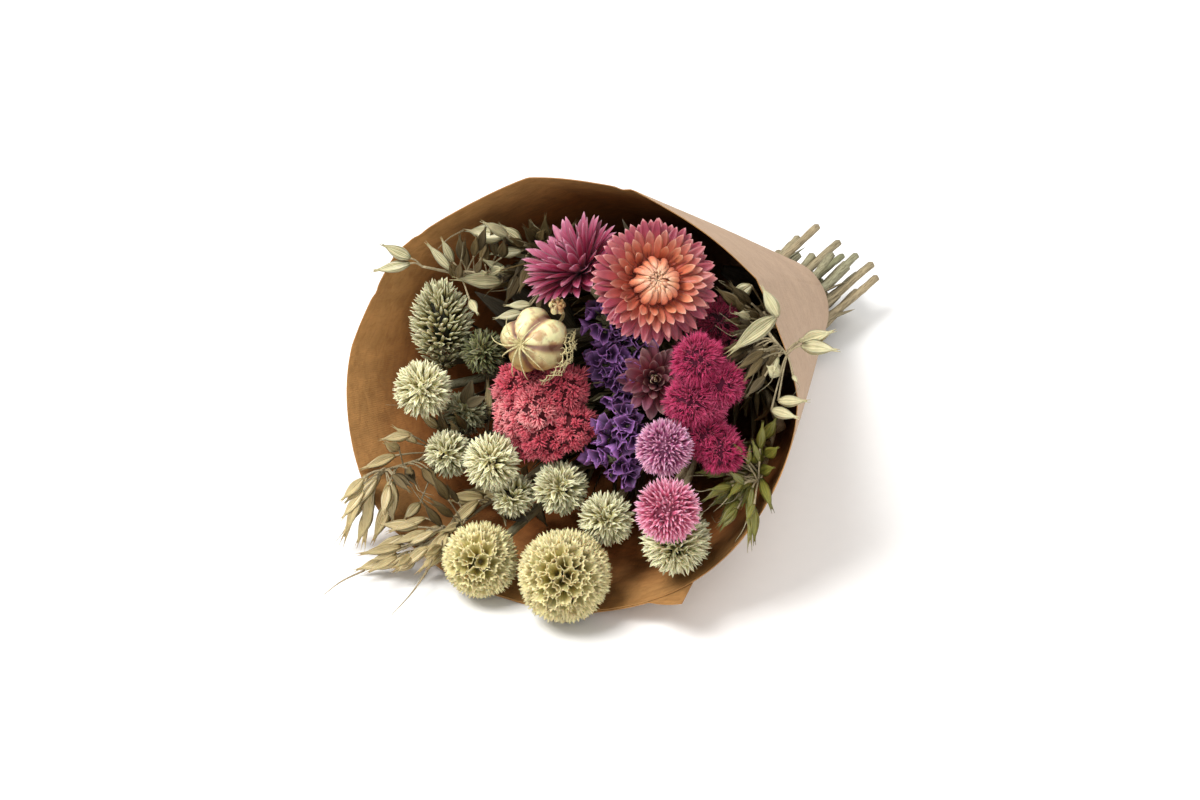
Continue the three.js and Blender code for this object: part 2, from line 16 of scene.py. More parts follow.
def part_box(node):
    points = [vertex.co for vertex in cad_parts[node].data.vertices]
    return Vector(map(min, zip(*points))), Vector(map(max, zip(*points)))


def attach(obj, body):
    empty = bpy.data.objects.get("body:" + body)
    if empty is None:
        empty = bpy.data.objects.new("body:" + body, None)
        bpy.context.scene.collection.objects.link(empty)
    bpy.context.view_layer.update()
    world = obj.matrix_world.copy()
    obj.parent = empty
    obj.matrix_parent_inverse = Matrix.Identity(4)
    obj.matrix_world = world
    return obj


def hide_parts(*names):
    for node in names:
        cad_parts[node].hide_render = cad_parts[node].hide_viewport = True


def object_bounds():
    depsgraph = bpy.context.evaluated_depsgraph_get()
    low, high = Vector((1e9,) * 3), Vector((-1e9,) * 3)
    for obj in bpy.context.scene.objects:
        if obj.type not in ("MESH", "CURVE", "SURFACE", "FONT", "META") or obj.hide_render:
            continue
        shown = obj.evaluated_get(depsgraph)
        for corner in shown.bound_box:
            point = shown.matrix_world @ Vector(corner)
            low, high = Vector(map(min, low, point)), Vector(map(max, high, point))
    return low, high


bl_info = {
    "name": "Dried flower bouquet",
    "version": (1, 0, 0),
    "blender": (4, 5, 0),
    "location": "View3D > Sidebar > Bouquet",
    "description": "Makes a bunch of dried flowers in a kraft paper cone",
    "category": "Object",
}

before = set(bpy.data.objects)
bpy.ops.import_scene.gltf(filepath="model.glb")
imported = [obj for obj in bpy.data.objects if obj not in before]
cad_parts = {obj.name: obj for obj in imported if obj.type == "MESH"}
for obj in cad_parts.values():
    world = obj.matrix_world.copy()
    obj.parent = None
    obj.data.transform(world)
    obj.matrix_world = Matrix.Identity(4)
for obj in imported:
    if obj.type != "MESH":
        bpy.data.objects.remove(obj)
CAD_BOUNDS = [list(corner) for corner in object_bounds()]
MM = 0.001
TURN = 2 * math.pi
# Each bract or cup of a spiral stands this share of a turn past the one before it.
GOLDEN_SHARE = 0.381966

# ------------------------------------------------------------------ the cone and its frame
# In millimetres and radians, as the solids have them.

MOUTH_HALF_WIDTH = 91
MOUTH_HALF_HEIGHT = 81
NECK_RADIUS = 23.5
PAPER_LENGTH = 188
PRESSED_FLAT = 2.4
MOUTH_FORWARD = 64
LIP_LEAN_BACK = 0.24
LIP_LEAN_SIDE = 0.12
CORNER_LENGTH = 13
CORNER_SPAN = 0.2
SHEET_START = -2.3
SHEET_END = -0.79 + TURN
TIE_DEPTH = 132
NECK_BEND = 6
# What hangs clear of the paper stays within this share of the cone's width, or this many
# millimetres past its lip, and as far over the floor.
CLEAR_SHARE = 0.9
CLEARANCE = 2
# A leaf is out of sight while its tip is behind this place on Z and within this share of the
# mouth's width.
HIDDEN_BEHIND = -3
HIDDEN_SHARE = 0.72
# The sheet is folded a little at these turns, and flatter between them.
FOLDS = (0.2, 0.8, 1.56, 2.04, 2.76, 3.24)

LEAN = math.atan2(MOUTH_HALF_HEIGHT - NECK_RADIUS, PAPER_LENGTH)
MOUTH_HEIGHT = MOUTH_HALF_HEIGHT * math.cos(LEAN) - PRESSED_FLAT
MOUTH = np.array([0, -MOUTH_FORWARD, MOUTH_HEIGHT])
MOUTH_TURN = np.array(Matrix.Rotation(math.pi / 2 - LEAN, 3, "X"))
TOWARDS_VIEWER = (0.44, 0.3, 0.85)


def to_object(points):
    """Takes places in the mouth frame to the object's own frame."""
    return points @ MOUTH_TURN.T + MOUTH


def to_mouth(points):
    return (points - MOUTH) @ MOUTH_TURN


def cone_reach(opening):
    """Half the cone's width and height, from `opening` 0 at its narrow end to 1 at its mouth."""
    half_width = NECK_RADIUS + (MOUTH_HALF_WIDTH - NECK_RADIUS) * opening
    half_height = NECK_RADIUS + (MOUTH_HALF_HEIGHT - NECK_RADIUS) * opening
    return half_width, half_height


# ------------------------------------------------------------------ what stands where
# Places are in the mouth frame. A facing is the way that a head's top points. A base is how far
# behind the head's middle its stem ends.

# Each strawflower, and the pod: place, facing and base.
STRAWFLOWERS = {
    "coral_strawflower": ((32.3, 49.8, 11.3), (0.53, 0.38, 0.76), 9),
    "magenta_strawflower": ((-7, 42.6, -3.6), (-0.48, 0.7, 0.53), 9),
    "rose_strawflower": ((26, 6, -15), TOWARDS_VIEWER, 7),
}
POD = ((-14, 14.8, 10), (0.08, 0.06, 0.99), 16)
# Each cockscomb: place, facing, base, and its lobes as a place and a radius.
COCKSCOMBS = {
    "red_cockscomb": (
        (-11, -13, -1), (-0.1, -0.1, 0.99), 17,
        [(-10, 7, 3, 8.6), (6, 9, -1, 9.4), (-14, -9, -1, 8), (5, -9, 5, 9.2),
         (14, -4, 1, 7.8), (2, 3, 8, 8), (-4, -3, 3, 10.6), (-5, -13, 2, 7.4),
         (-16, 0, 0, 6.6), (0, 0, 0, 9)],
    ),
    "magenta_cockscomb": (
        (57, 9, 4), (0.35, 0, 0.94), 15,
        [(-5, 16.5, 3, 8), (4, 8.5, 0, 7.2), (-5, 1, 3, 8.2), (2, -11.5, 0, 7.2),
         (8.3, -15.5, 2, 7.2), (0, 0, 0, 6.5)],
    ),
    "dark_cockscomb": (
        (50, 36, -12), (0.3, 0.2, 0.93), 11, [(0, 0, 0, 6.4), (4, -4, -2, 5.5)],
    ),
}
# Each globe amaranth: place, facing, base and radius.
AMARANTHS = {
    "mauve_globe_amaranth": ((50.6, -6.8, 18.6), (0.35, 0, 0.94), 11, 10.6),
    "pink_globe_amaranth": ((59.6, -26.4, 26.2), (0.35, -0.1, 0.93), 12.3, 12),
}
# Each head of canary grass: place, facing, half its width, half its length, and how bright
# it is, from 0 for dark green to 1 for cream.
CANARY_HEADS = {
    "canary_grass_tall": ((-69, 4, -11), (0, 0.95, 0.32), 12.8, 18.2, 0.75),
    "canary_grass_left": ((-64, -20, 4), TOWARDS_VIEWER, 11.8, 12, 1.0),
    "canary_grass_dark": ((-50, -4, -15), TOWARDS_VIEWER, 9.4, 10, 0.0),
    "canary_grass_deep": ((-56, -32, -17), TOWARDS_VIEWER, 9.4, 10, 0.42),
    "canary_grass_low_left": ((-49.2, -42.9, 2.6), TOWARDS_VIEWER, 9.8, 10.5, 0.8),
    "canary_grass_bright": ((-23, -35.8, 13.5), TOWARDS_VIEWER, 11.4, 12, 1.0),
    "canary_grass_behind": ((-15.8, -49.4, 5.2), (0.3, -0.1, 0.95), 9, 10, 1.0),
    "canary_grass_middle": ((3, -41, 3), TOWARDS_VIEWER, 10.8, 11.5, 0.75),
    "canary_grass_right": ((24.6, -46.6, 4), TOWARDS_VIEWER, 10.8, 11.5, 0.85),
    "canary_grass_big": ((55.2, -44.4, 5.2), (0.5, -0.3, 0.81), 13.4, 14, 0.9),
}
# Each cup seed head: place, facing and radius.
CUP_HEADS = {
    "cup_seed_head_left": ((-13.6, -70, 28), (0.2, -0.05, 0.97), 13.1),
    "cup_seed_head_front": ((21.4, -65.4, 25), (0.25, 0.1, 0.96), 16.3),
}
# Statice: the fork of each spray and the clusters that branch from it.
STATICE = {
    "statice_upper": ((10, 9, -26), [(3, 27, -7), (12, 19, -12), (7, 5, -7), (13, -3, -9)]),
    "statice_lower": ((21, -20, -18), [(23, -10, 2), (21, -20, -3), (20, -29, 1)]),
}
# Oats: the joints of each stalk, its spikelets (joint, root, tip, width) and its awns.
OATS = {
    "oats_upper_left": (
        [(-54, 26, -30), (-60, 27, -6), (-68, 30, 10)],
        [(2, (-71, 33, 14), (-82, 37, 20), 4.6), (2, (-71, 31, 14), (-85, 25, 20), 4.2),
         (1, (-61, 29, 0), (-71, 39, 6), 4), (1, (-63, 31, -4), (-68, 41, 0), 3.6),
         (0, (-46, 26, -14), (-58, 27, 4), 6), (0, (-48, 28, -22), (-58, 33, -14), 3.6)],
        [],
    ),
    "oats_top": (
        [(-34, 34, -44), (-42, 38, -28)],
        [(1, (-49, 44, -17), (-65.5, 42.5, -12), 7.4), (1, (-43, 42, -20), (-52, 48, -14), 5),
         (1, (-44, 38, -22), (-57, 34, -18), 4.4), (1, (-49, 42, -22), (-55, 47.5, -20), 3),
         (0, (-38, 41, -30), (-45, 50, -27), 3),
         (0, (-27, 23, -6), (-36, 21, -1), 3.6), (0, (-34, 17, -12), (-43, 13, -6), 3.6)],
        [[(-65, 42.5, -12), (-69, 39, -9), (-72, 34, -6)]],
    ),
    "oats_right": (
        [(55.5, 35, -42), (65, 36, -20), (80, 32, -8)],
        [(0, (54, 49, -25), (47, 41, -22), 5), (1, (71, 43, -15), (62, 53, -15), 5),
         (1, (74, 45, -6), (66, 32, 13), 6.4), (2, (85, 37, -8), (101, 40, -5), 5),
         (2, (84, 38, -10), (97, 46, -8), 5), (2, (80, 25, -5), (76, 28, -1), 5),
         (2, (82, 16, -3), (96, 21, 2), 4), (2, (80, 12, -3), (94, 14, 3), 4)],
        [],
    ),
    "oats_right_green": (
        [(66, -8, -44), (74, -14, -22), (78, -17, -8)],
        [(1, (75, -3, -13), (80, 8, -10), 4.4), (1, (77, -9, -12), (84, -2, -7), 4.4),
         (1, (76, -15, -11), (84, -10, -7), 4.4), (1, (75, -19, -8), (86, -39, 7), 3.6),
         (1, (72, -20, -10), (72, -35, 0), 3.6), (0, (69, -16, -16), (64, -24, -4), 3.2),
         (1, (79, -16, -8), (91, -23, 4), 3.6)],
        [],
    ),
    "oats_lower_left": (
        [(-44, -42, -36), (-60, -49, -10), (-66, -51, 20)],
        [(1, (-67, -40, 4), (-76, -43, 13), 4), (1, (-66, -44, 0), (-75, -38, 6), 3.6),
         (1, (-69, -48, 10), (-77, -54, 23), 4.4), (2, (-72, -54, 24), (-75, -83, 31), 5.4),
         (2, (-69, -57, 24), (-66, -83, 29), 5), (2, (-62, -54, 22), (-55, -69, 27), 6),
         (2, (-60, -61, 23), (-63, -80, 28), 5), (1, (-52, -62, 14), (-54, -68, 22), 4)],
        [],
    ),
    "oats_bottom_left": (
        [(-26, -50, -36), (-32, -60, -6), (-36, -68, 16), (-44, -76, 28)],
        [(1, (-33, -58, 2), (-38, -69, 18), 5), (3, (-46, -78, 30), (-57, -85, 42), 5),
         (3, (-42, -78, 28), (-47, -84, 36), 5), (2, (-34, -71, 20), (-34, -80, 32), 6),
         (2, (-38, -66, 18), (-50, -78, 26), 4)],
        [[(-56, -84.5, 41), (-60, -88, 50), (-62, -92, 58)],
         [(-34, -80, 31), (-33, -86, 42), (-33, -91.5, 54)]],
    ),
}

# More spikelets hang from the same joints: which joint, how many, which way they lean, how long
# they are at most, and whether they are dark ones, brown husks darkened as painted shade for the
# bunch's shadow deep in the cone.
MORE_OATS = {
    "oats_upper_left": [(1, 12, (0, 0.8, 0.4), 16, True), (1, 3, (0.3, 0.3, 0.5), 15, False)],
    "oats_top": [
        (1, 7, (-0.5, 0.5, 0.3), 16, True), (1, 12, (0.2, 0.6, 0.5), 17, True),
        (1, 2, (-0.7, 0.1, 0.3), 16, False), (1, 8, (0, -0.7, 0.3), 17, True),
    ],
    "oats_right": [
        (1, 14, (0.1, 0.7, 0.6), 16, True), (1, 12, (0.1, -0.2, 0.8), 16, True),
        (1, 4, (-0.1, 0.4, 0.8), 15, False), (2, 12, (-0.1, -0.8, 0.3), 14, True),
        (2, 3, (0.2, -0.4, 0.5), 9, False),
    ],
    "oats_right_green": [
        (2, 14, (0, -0.8, 0.4), 15, False), (2, 12, (0, 0.6, 0.6), 13, False),
        (2, 8, (-0.5, -0.5, 0.5), 14, False), (1, 12, (0.1, 0.2, 0.9), 16, True),
        (1, 12, (0, -0.5, 0.4), 16, True),
    ],
    "oats_lower_left": [
        (1, 9, (-0.6, -0.2, 0.6), 18, False), (2, 12, (-0.2, -0.9, 0.4), 19, False),
        (1, 12, (-0.4, 0.6, 0.6), 16, True), (2, 8, (0.1, -0.4, 0.4), 16, True),
    ],
    "oats_bottom_left": [
        (1, 7, (-0.5, -0.3, 0.7), 18, False), (2, 12, (-0.5, -0.6, 0.5), 19, False),
        (3, 8, (-0.5, -0.5, 0.6), 18, False), (1, 8, (0.3, -0.2, 0.6), 16, True),
        (2, 6, (-0.4, 0.3, 0.6), 16, True),
    ],
}

# Leaves that show on their own, by the stem that bears them: root, tip, width, and how light.
# Those near 0 are darkened as painted shade, for where they lie in the shadow deep in the bunch.
LONE_LEAVES = {
    "canary_grass_deep": [
        ((-53, -26, -12), (-47, -14.5, -3), 6, 1.0), ((-50, -25, -8), (-41, -18.5, -4), 4.5, 0.8),
    ],
    "magenta_strawflower_stem": [
        ((6, 40, -34), (-3, 60, -25), 3.4, 0.1), ((10, 38, -36), (6, 58, -26), 2.8, 0.0),
    ],
    "canary_grass_behind": [((-22, -58, 2), (-8, -56.5, 8), 5, 0.1)],
    "canary_grass_dark": [
        ((-40, -4, -52), (-63, 15, -26), 9, 0.0), ((-38, 2, -52), (-56, 24, -28), 9, 0.1),
        ((-34, 6, -54), (-46, 30, -30), 9, 0.0), ((-30, 4, -50), (-38, 24, -26), 8, 0.05),
        ((-36, -6, -50), (-56, 6, -30), 8, 0.05),
    ],
    # These three close the view through the cone's narrow end.
    "coral_strawflower_stem": [((-12, 22, -142), (16, 14, -154), 10, 0.0)],
    "magenta_cockscomb_stem": [((-4, 26, -126), (24, 18, -138), 9, 0.0)],
    "dark_cockscomb_stem": [((4, 8, -152), (8, 32, -140), 9, 0.0)],
}
# The low and the high leaves inside the cone: between which steps of the stem's line they start,
# how far off the bunch's middle a stem sends them outwards as strongly as chance turns them
# (inwards where it is below 0), and the ranges of their curl, length and width.
LOW_LEAF = dict(steps=(12, 21), off_middle=3, curl=(0.3, 1.2), length=(20, 48), width=(4.5, 8))
HIGH_LEAF = dict(
    steps=(25, 36), off_middle=-50, curl=(0.15, 0.9), length=(35, 80), width=(3.2, 6.5),
)


# ------------------------------------------------------------------ sizes and colours

def linear(code):
    """Turns an sRGB hex colour into linear red, green, blue and alpha."""
    channels = [int(code[i:i + 2], 16) / 255 for i in (1, 3, 5)]
    bright = [c / 12.92 if c <= 0.04045 else ((c + 0.055) / 1.055) ** 2.4 for c in channels]
    return (*bright, 1.0)


def colour(name, description, code):
    return FloatVectorProperty(
        name=name, description=description, subtype="COLOR", size=4, min=0, max=1,
        default=linear(code),
    )


def size(name, description, millimetres):
    return FloatProperty(
        name=name, description=description, unit="LENGTH", min=0, precision=4,
        default=millimetres * MM,
    )


class PaperSettings(bpy.types.PropertyGroup):
    thickness: size("Thickness", "How thick the kraft sheet is drawn", 0.35)
    crumple: size("Crumple", "How deep the sheet's soft creases are", 1.3)
    # The inside's warmer, browner colour is partly the kraft's rougher face and partly painted
    # light: the glow of light passing through the sheet and bouncing round inside the cone.
    inside: colour("Inside", "The rougher face of the kraft sheet", "#A97C49")
    outside: colour("Outside", "The smoother face of the kraft sheet", "#B4987E")


class StrawflowerSettings(bpy.types.PropertyGroup):
    coral_radius: size("Coral radius", "Reach of the coral flower's outer bracts", 23.3)
    magenta_radius: size("Magenta radius", "Reach of the magenta flower's outer bracts", 21.6)
    rose_radius: size("Rose radius", "Reach of the half open flower's bracts", 13)
    coral_outer: colour("Coral, outer", "Outer bracts of the coral flower", "#8A2840")
    coral_inner: colour("Coral, inner", "Inner bracts of the coral flower", "#D87850")
    magenta: colour("Magenta", "Bracts of the magenta flower", "#982A4E")
    magenta_tip: colour("Magenta tips", "Tips of the magenta bracts", "#B4647E")
    rose: colour("Rose", "Bracts of the half open flower", "#86303F")


class PodSettings(bpy.types.PropertyGroup):
    radius: size("Radius", "Half the width of the nigella pod", 12.4)
    wall: colour("Wall", "The pod's papery wall", "#F2E8B0")
    stripe: colour("Stripe", "The stripes along the pod's seams", "#A07C66")


class CockscombSettings(bpy.types.PropertyGroup):
    plume: size("Plume", "Length of the plush on the cockscombs", 3.2)
    red: colour("Red", "Plush of the red head", "#AC263E")
    red_tip: colour("Red tips", "Paler tips of the red head", "#F0A8A4")
    magenta: colour("Magenta", "Plush of the magenta head", "#A61648")
    magenta_tip: colour("Magenta tips", "Tips of the magenta head", "#CA346A")
    dark: colour("Dark", "Plush of the head behind", "#7A1230")


class AmaranthSettings(bpy.types.PropertyGroup):
    bracts: IntProperty(name="Bracts", description="Bracts on each ball", default=620, min=100)
    mauve: colour("Mauve", "Bracts of the upper ball", "#B85A8C")
    mauve_tip: colour("Mauve tips", "Tips of the upper ball", "#E8AAC6")
    pink: colour("Pink", "Bracts of the lower ball", "#D86488")
    pink_tip: colour("Pink tips", "Tips of the lower ball", "#F8B0C6")


class CanarySettings(bpy.types.PropertyGroup):
    husk: size("Husk", "Length of a husk on a head 20 mm wide", 6.4)
    cream: colour("Cream", "Edges of the husks", "#FFF8CE")
    keel: colour("Keel", "Green line along each husk", "#A0A662")
    shade: colour("Shade", "Husks of the dark heads", "#4A4830")


class CupHeadSettings(bpy.types.PropertyGroup):
    pitch: size("Pitch", "From the middle of one cup to the next", 5.2)
    rim: colour("Rim", "The papery rims of the cups", "#D8CC98")
    inside: colour("Inside", "The inside of the cups", "#B4A662")


class StaticeSettings(bpy.types.PropertyGroup):
    cups: IntProperty(name="Cups", description="Cups in each cluster", default=20, min=1)
    base: colour("Base", "The throat of each cup", "#44204E")
    rim: colour("Rim", "The pleated rim of each cup", "#9C68AA")
    wing: colour("Wing", "The dry green branches", "#757454")


class OatSettings(bpy.types.PropertyGroup):
    straw: colour("Straw", "The pale stripes of the husks", "#C6BC94")
    vein: colour("Vein", "The veins of the husks", "#7C784E")
    green: colour("Green", "Husks of the greener oats", "#76722C")
    golden: colour("Golden", "Husks of the golden oats", "#C8B484")
    # The dark spikelets and the oat leaves take this colour. On the spikelets its darkness is
    # partly painted shade.
    brown: colour("Brown", "Husks of the oats deep in the bunch", "#7A663C")


class StemSettings(bpy.types.PropertyGroup):
    radius: size("Radius", "Radius of a stem", 1.85)
    green: colour("Grey green", "The greener stems", "#908C6E")
    tan: colour("Tan", "The browner stems", "#A49270")
    leaf: colour("Leaf", "The dry leaves among the stems", "#605438")
    twine: colour("Twine", "The jute twine of the tie", "#B99A66")


class StageSettings(bpy.types.PropertyGroup):
    azimuth: FloatProperty(
        name="Azimuth", description="Camera's turn round the bunch", subtype="ANGLE",
        default=math.radians(31),
    )
    elevation: FloatProperty(
        name="Elevation", description="Camera's height above the horizon", subtype="ANGLE",
        default=math.radians(32),
    )
    distance: FloatProperty(
        name="Distance", description="From the mouth to the camera", unit="LENGTH", default=0.8,
    )
    lens: FloatProperty(name="Lens", description="Focal length in millimetres", default=63.3)
    floor: colour("Floor", "The pale floor", "#F7F6F4")


# ------------------------------------------------------------------ gathering a piece

# What a piece holds at each point for its materials: how far along and across its petal or husk
# the point is, and the petal's tone.
POINT_VALUES = ("along", "across", "tone")


def seeded(name):
    """Random numbers of a piece's own, the same in each run."""
    return np.random.default_rng(sum(map(ord, name)))


def unit(vectors):
    vectors = np.asarray(vectors, float)
    return vectors / np.maximum(np.linalg.norm(vectors, axis=-1, keepdims=True), 1e-9)


def round_axis(turn):
    """The way straight out from the Z axis at each of these turns round it."""
    return np.stack([np.cos(turn), np.sin(turn), np.zeros_like(turn)], axis=-1)


def turned_to(facing):
    """The rotation that takes +Z to `facing`."""
    return np.array(Vector((0, 0, 1)).rotation_difference(Vector(facing).normalized()).to_matrix())


class Form:
    """The points and faces of one piece, with what its materials read at each point."""

    def __init__(self, at=(0, 0, 0), facing=(0, 0, 1)):
        self.blocks = []
        self.faces = []
        self.slots = []
        self.count = 0
        self.stand(at, facing)

    def stand(self, at=(0, 0, 0), facing=(0, 0, 1)):
        """What is added next stands at this place, with its +Z turned to `facing`."""
        self.at = np.array(at, float)
        self.turn = turned_to(facing)

    def add(self, points, faces, along=0.0, across=0.0, tone=0.5, slot=0):
        """Adds points with what the materials read there, and faces in this material slot."""
        flat = np.asarray(points, float).reshape(-1, 3) @ self.turn.T + self.at
        shape = np.asarray(points).shape[:-1]
        values = [np.broadcast_to(value, shape).ravel() for value in (along, across, tone)]
        self.blocks.append((flat, *values))
        for block in faces:
            self.faces.append(block + self.count)
            self.slots.append(np.full(len(block), slot))
        self.count += len(flat)

    def build(self, name, materials, nodes, in_mouth=True):
        """Makes the piece that the scene shows for these nodes."""
        mesh = bpy.data.meshes.new(name)
        points, *held = (np.concatenate(part) for part in zip(*self.blocks))
        points = to_object(points) if in_mouth else points
        corners = [face for block in self.faces for face in block.tolist()]
        mesh.from_pydata((points * MM).tolist(), [], corners)
        mesh.polygons.foreach_set("use_smooth", np.ones(len(corners), bool))
        mesh.polygons.foreach_set("material_index", np.concatenate(self.slots).astype(np.int32))
        for label, values in zip(POINT_VALUES, held):
            attribute = mesh.attributes.new(label, "FLOAT", "POINT")
            attribute.data.foreach_set("value", values.astype(np.float32))
        for material in materials:
            mesh.materials.append(material)
        mesh.update()
        piece = bpy.data.objects.new(name, mesh)
        bpy.context.scene.collection.objects.link(piece)
        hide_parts(*nodes)
        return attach(piece, "root")


def tube_faces(tubes, rings, sides):
    """Quads along each of several tubes, and the faces that close their ends."""
    ring, side = np.meshgrid(np.arange(rings - 1), np.arange(sides), indexing="ij")
    here = (ring * sides + side).ravel()
    beside = (ring * sides + (side + 1) % sides).ravel()
    quads = np.stack([here, beside, beside + sides, here + sides], axis=-1)
    start = (np.arange(tubes) * rings * sides)[:, None, None]
    ends = np.stack([np.arange(sides)[::-1], np.arange(sides) + (rings - 1) * sides])
    return [(start + quads).reshape(-1, 4), (start + ends).reshape(-1, sides)]


def smooth_path(points, steps):
    """A rounded line through the points, with `steps` points from each to the next."""
    points = np.asarray(points, float)
    padded = np.vstack([2 * points[0] - points[1], points, 2 * points[-1] - points[-2]])
    t = np.arange(steps)[:, None] / steps
    stretches = []
    for before, here, there, after in zip(padded, padded[1:], padded[2:], padded[3:]):
        reach = np.linalg.norm(there - here)
        leaving, reaching = unit(there - before) * reach, unit(after - here) * reach
        passed = t ** 2 * (3 - 2 * t)
        bowed = leaving * t * (1 - t) ** 2 - reaching * t ** 2 * (1 - t)
        stretches.append(here + (there - here) * passed + bowed)
    return np.vstack([*stretches, points[-1:]])


def strand(form, path, radii, sides=6, ribs=0.0, tone=0.5, slot=0):
    """A round strand along a path. `ribs` is how deep its five ribs are, as a share."""
    path = np.asarray(path, float)
    steps = np.linspace(0, 1, len(path))
    radii = np.interp(steps, np.linspace(0, 1, len(radii)), radii)
    ahead = unit(np.gradient(path, axis=0))
    guide = np.array([1.0, 0, 0]) if abs(ahead[0][0]) < 0.8 else np.array([0, 1.0, 0])
    side = unit(guide - (ahead @ guide)[:, None] * ahead)
    up = np.cross(side, ahead)
    turn = np.arange(sides) * TURN / sides
    reach = radii[:, None] * (1 + ribs * np.cos(5 * turn))
    places = (
        path[:, None]
        + side[:, None] * (reach * np.cos(turn))[..., None]
        + up[:, None] * (reach * np.sin(turn))[..., None]
    )
    along = np.broadcast_to(steps[:, None], reach.shape)
    across = np.broadcast_to(np.cos(5 * turn), reach.shape)
    form.add(places, tube_faces(1, len(path), sides), along, across, tone, slot)


def pointed(widest, root=0.45, point=0.9):
    """The outline of a pointed petal: its width, from 0 to 1, at each share of its length."""
    def width(t):
        rising = root + (1 - root) * np.sin(math.pi / 2 * np.minimum(t / widest, 1))
        falling = np.cos(math.pi / 2 * np.clip((t - widest) / (1 - widest), 0, 1)) ** point
        return np.maximum(rising * falling, 0.04)
    return width


# The points round a petal or a hair: how far across each is, as a share of its half width, and
# 1 where it is on the under side.
PETAL_ROUND = ([-1, -0.5, 0, 0.5, 1, 0.5, 0, -0.5], [0, 0, 0, 0, 0, 1, 1, 1])
HAIR_ROUND = ([-1, 1, 0], [0, 0, 1])


def blades(form, root, ahead, face, length, width, outline, *, curl=0.0, cup=0.0,
           thickness=0.22, rings=8, shape=PETAL_ROUND, tone=0.5, slot=0):
    """Petals, husks or hairs: each starts at its root, heads `ahead` and curls towards
    `face`. A cup above 0 lifts its edges towards `face`."""
    root = np.atleast_2d(np.asarray(root, float))
    count = len(root)
    ahead = unit(np.broadcast_to(ahead, (count, 3)))
    face = np.broadcast_to(face, (count, 3))
    face = unit(face - np.sum(face * ahead, axis=1, keepdims=True) * ahead)
    side = np.cross(ahead, face)
    length, width, curl, cup, tone = (
        np.broadcast_to(value, (count,)).astype(float)[:, None]
        for value in (length, width, curl, cup, tone)
    )
    t = np.linspace(0, 1, rings)
    bend = curl * t
    heading = np.cos(bend)[..., None] * ahead[:, None] + np.sin(bend)[..., None] * face[:, None]
    normal = np.cos(bend)[..., None] * face[:, None] - np.sin(bend)[..., None] * ahead[:, None]
    middles = (heading[:, 1:] + heading[:, :-1]) / 2
    steps = np.concatenate([np.zeros((count, 1, 3)), np.cumsum(middles, axis=1)], axis=1)
    spine = root[:, None] + steps * (length / (rings - 1))[..., None]
    across, under = (np.array(values, float) for values in shape)
    half = width * outline(t) / 2
    lift = (
        (cup * half)[..., None] * across ** 2
        - thickness * under * (1 - across ** 2) * outline(t)[:, None] ** 0.5
    )
    places = (
        spine[:, :, None]
        + side[:, None, None] * (half[..., None] * across)[..., None]
        + normal[:, :, None] * lift[..., None]
    )
    shade = np.broadcast_to(t[:, None], places.shape[1:-1])
    form.add(
        places, tube_faces(count, rings, len(across)), shade, across,
        np.broadcast_to(tone[..., None], places.shape[:-1]), slot,
    )


def over_ball(count, lowest=-1.0):
    """Directions spaced evenly over a ball in a spiral, from its top down to `lowest`."""
    index = np.arange(count) + 0.5
    height = 1 - (1 - lowest) * index / count
    turn = math.pi * (1 + 5 ** 0.5) * index
    reach = np.sqrt(np.maximum(1 - height ** 2, 0))
    return np.stack([reach * np.cos(turn), reach * np.sin(turn), height], axis=-1)


def ball(form, centre, radii, rings=12, sides=18, tone=0.5, slot=0, swell=None, is_core=False):
    """A ball with its poles on Z, and one radius or one for each axis. `swell` gives its radius
    as a share at each turn and tilt. A core is in the colour of its petals' roots all over."""
    radii = np.broadcast_to(radii, 3)
    tilt = np.linspace(math.pi - 0.02, 0.02, rings)[:, None]
    turn = (np.arange(sides) * TURN / sides)[None]
    share = swell(turn, tilt) if swell else np.ones((rings, sides))
    places = np.stack([
        np.sin(tilt) * np.cos(turn) * share * radii[0],
        np.sin(tilt) * np.sin(turn) * share * radii[1],
        np.cos(tilt) * np.ones_like(turn) * share * radii[2],
    ], axis=-1) + np.array(centre, float)
    along = np.broadcast_to(1 - tilt / math.pi, (rings, sides)) * (not is_core)
    across = np.broadcast_to(np.cos(5 * turn), (rings, sides))
    form.add(places, tube_faces(1, rings, sides), along, across, tone, slot)


# ------------------------------------------------------------------ materials

WHITE = (1, 1, 1, 1)
# A Mix node's settings: for one colour laid over another, and for one that tints another.
LAID_OVER = dict(out=2, data_type="RGBA")
MULTIPLIED = dict(out=2, data_type="RGBA", blend_type="MULTIPLY")


def add_node(tree, kind, inputs=None, out=0, stops=None, **settings):
    """Adds one node and gives one of its outputs. An input given as a socket is linked, and any
    other is set."""
    node = tree.nodes.new(f"ShaderNode{kind}")
    for name, value in settings.items():
        setattr(node, name, value)
    for name, value in (inputs or {}).items():
        if isinstance(value, bpy.types.NodeSocket):
            tree.links.new(value, node.inputs[name])
        else:
            node.inputs[name].default_value = value
    if stops:
        ramp = node.color_ramp
        while len(ramp.elements) < len(stops):
            ramp.elements.new(1)
        for element, (position, shade) in zip(ramp.elements, stops):
            element.position = position
            element.color = shade
    return node.outputs[out] if len(node.outputs) else None


def new_material(name, roughness, *labels, **sockets):
    """A material, its tree and its shader, on which every value that is the same all over is
    set, and then what the piece holds at each point under each of these labels."""
    material = bpy.data.materials.new(name)
    material.use_nodes = True
    tree = material.node_tree
    tree.nodes.clear()
    inputs = {"Roughness": roughness, **{key.replace("_", " "): v for key, v in sockets.items()}}
    surface = add_node(tree, "BsdfPrincipled", inputs)
    add_node(tree, "OutputMaterial", {"Surface": surface})
    held = [add_node(tree, "Attribute", out="Fac", attribute_name=label) for label in labels]
    return material, tree, surface.node, *held


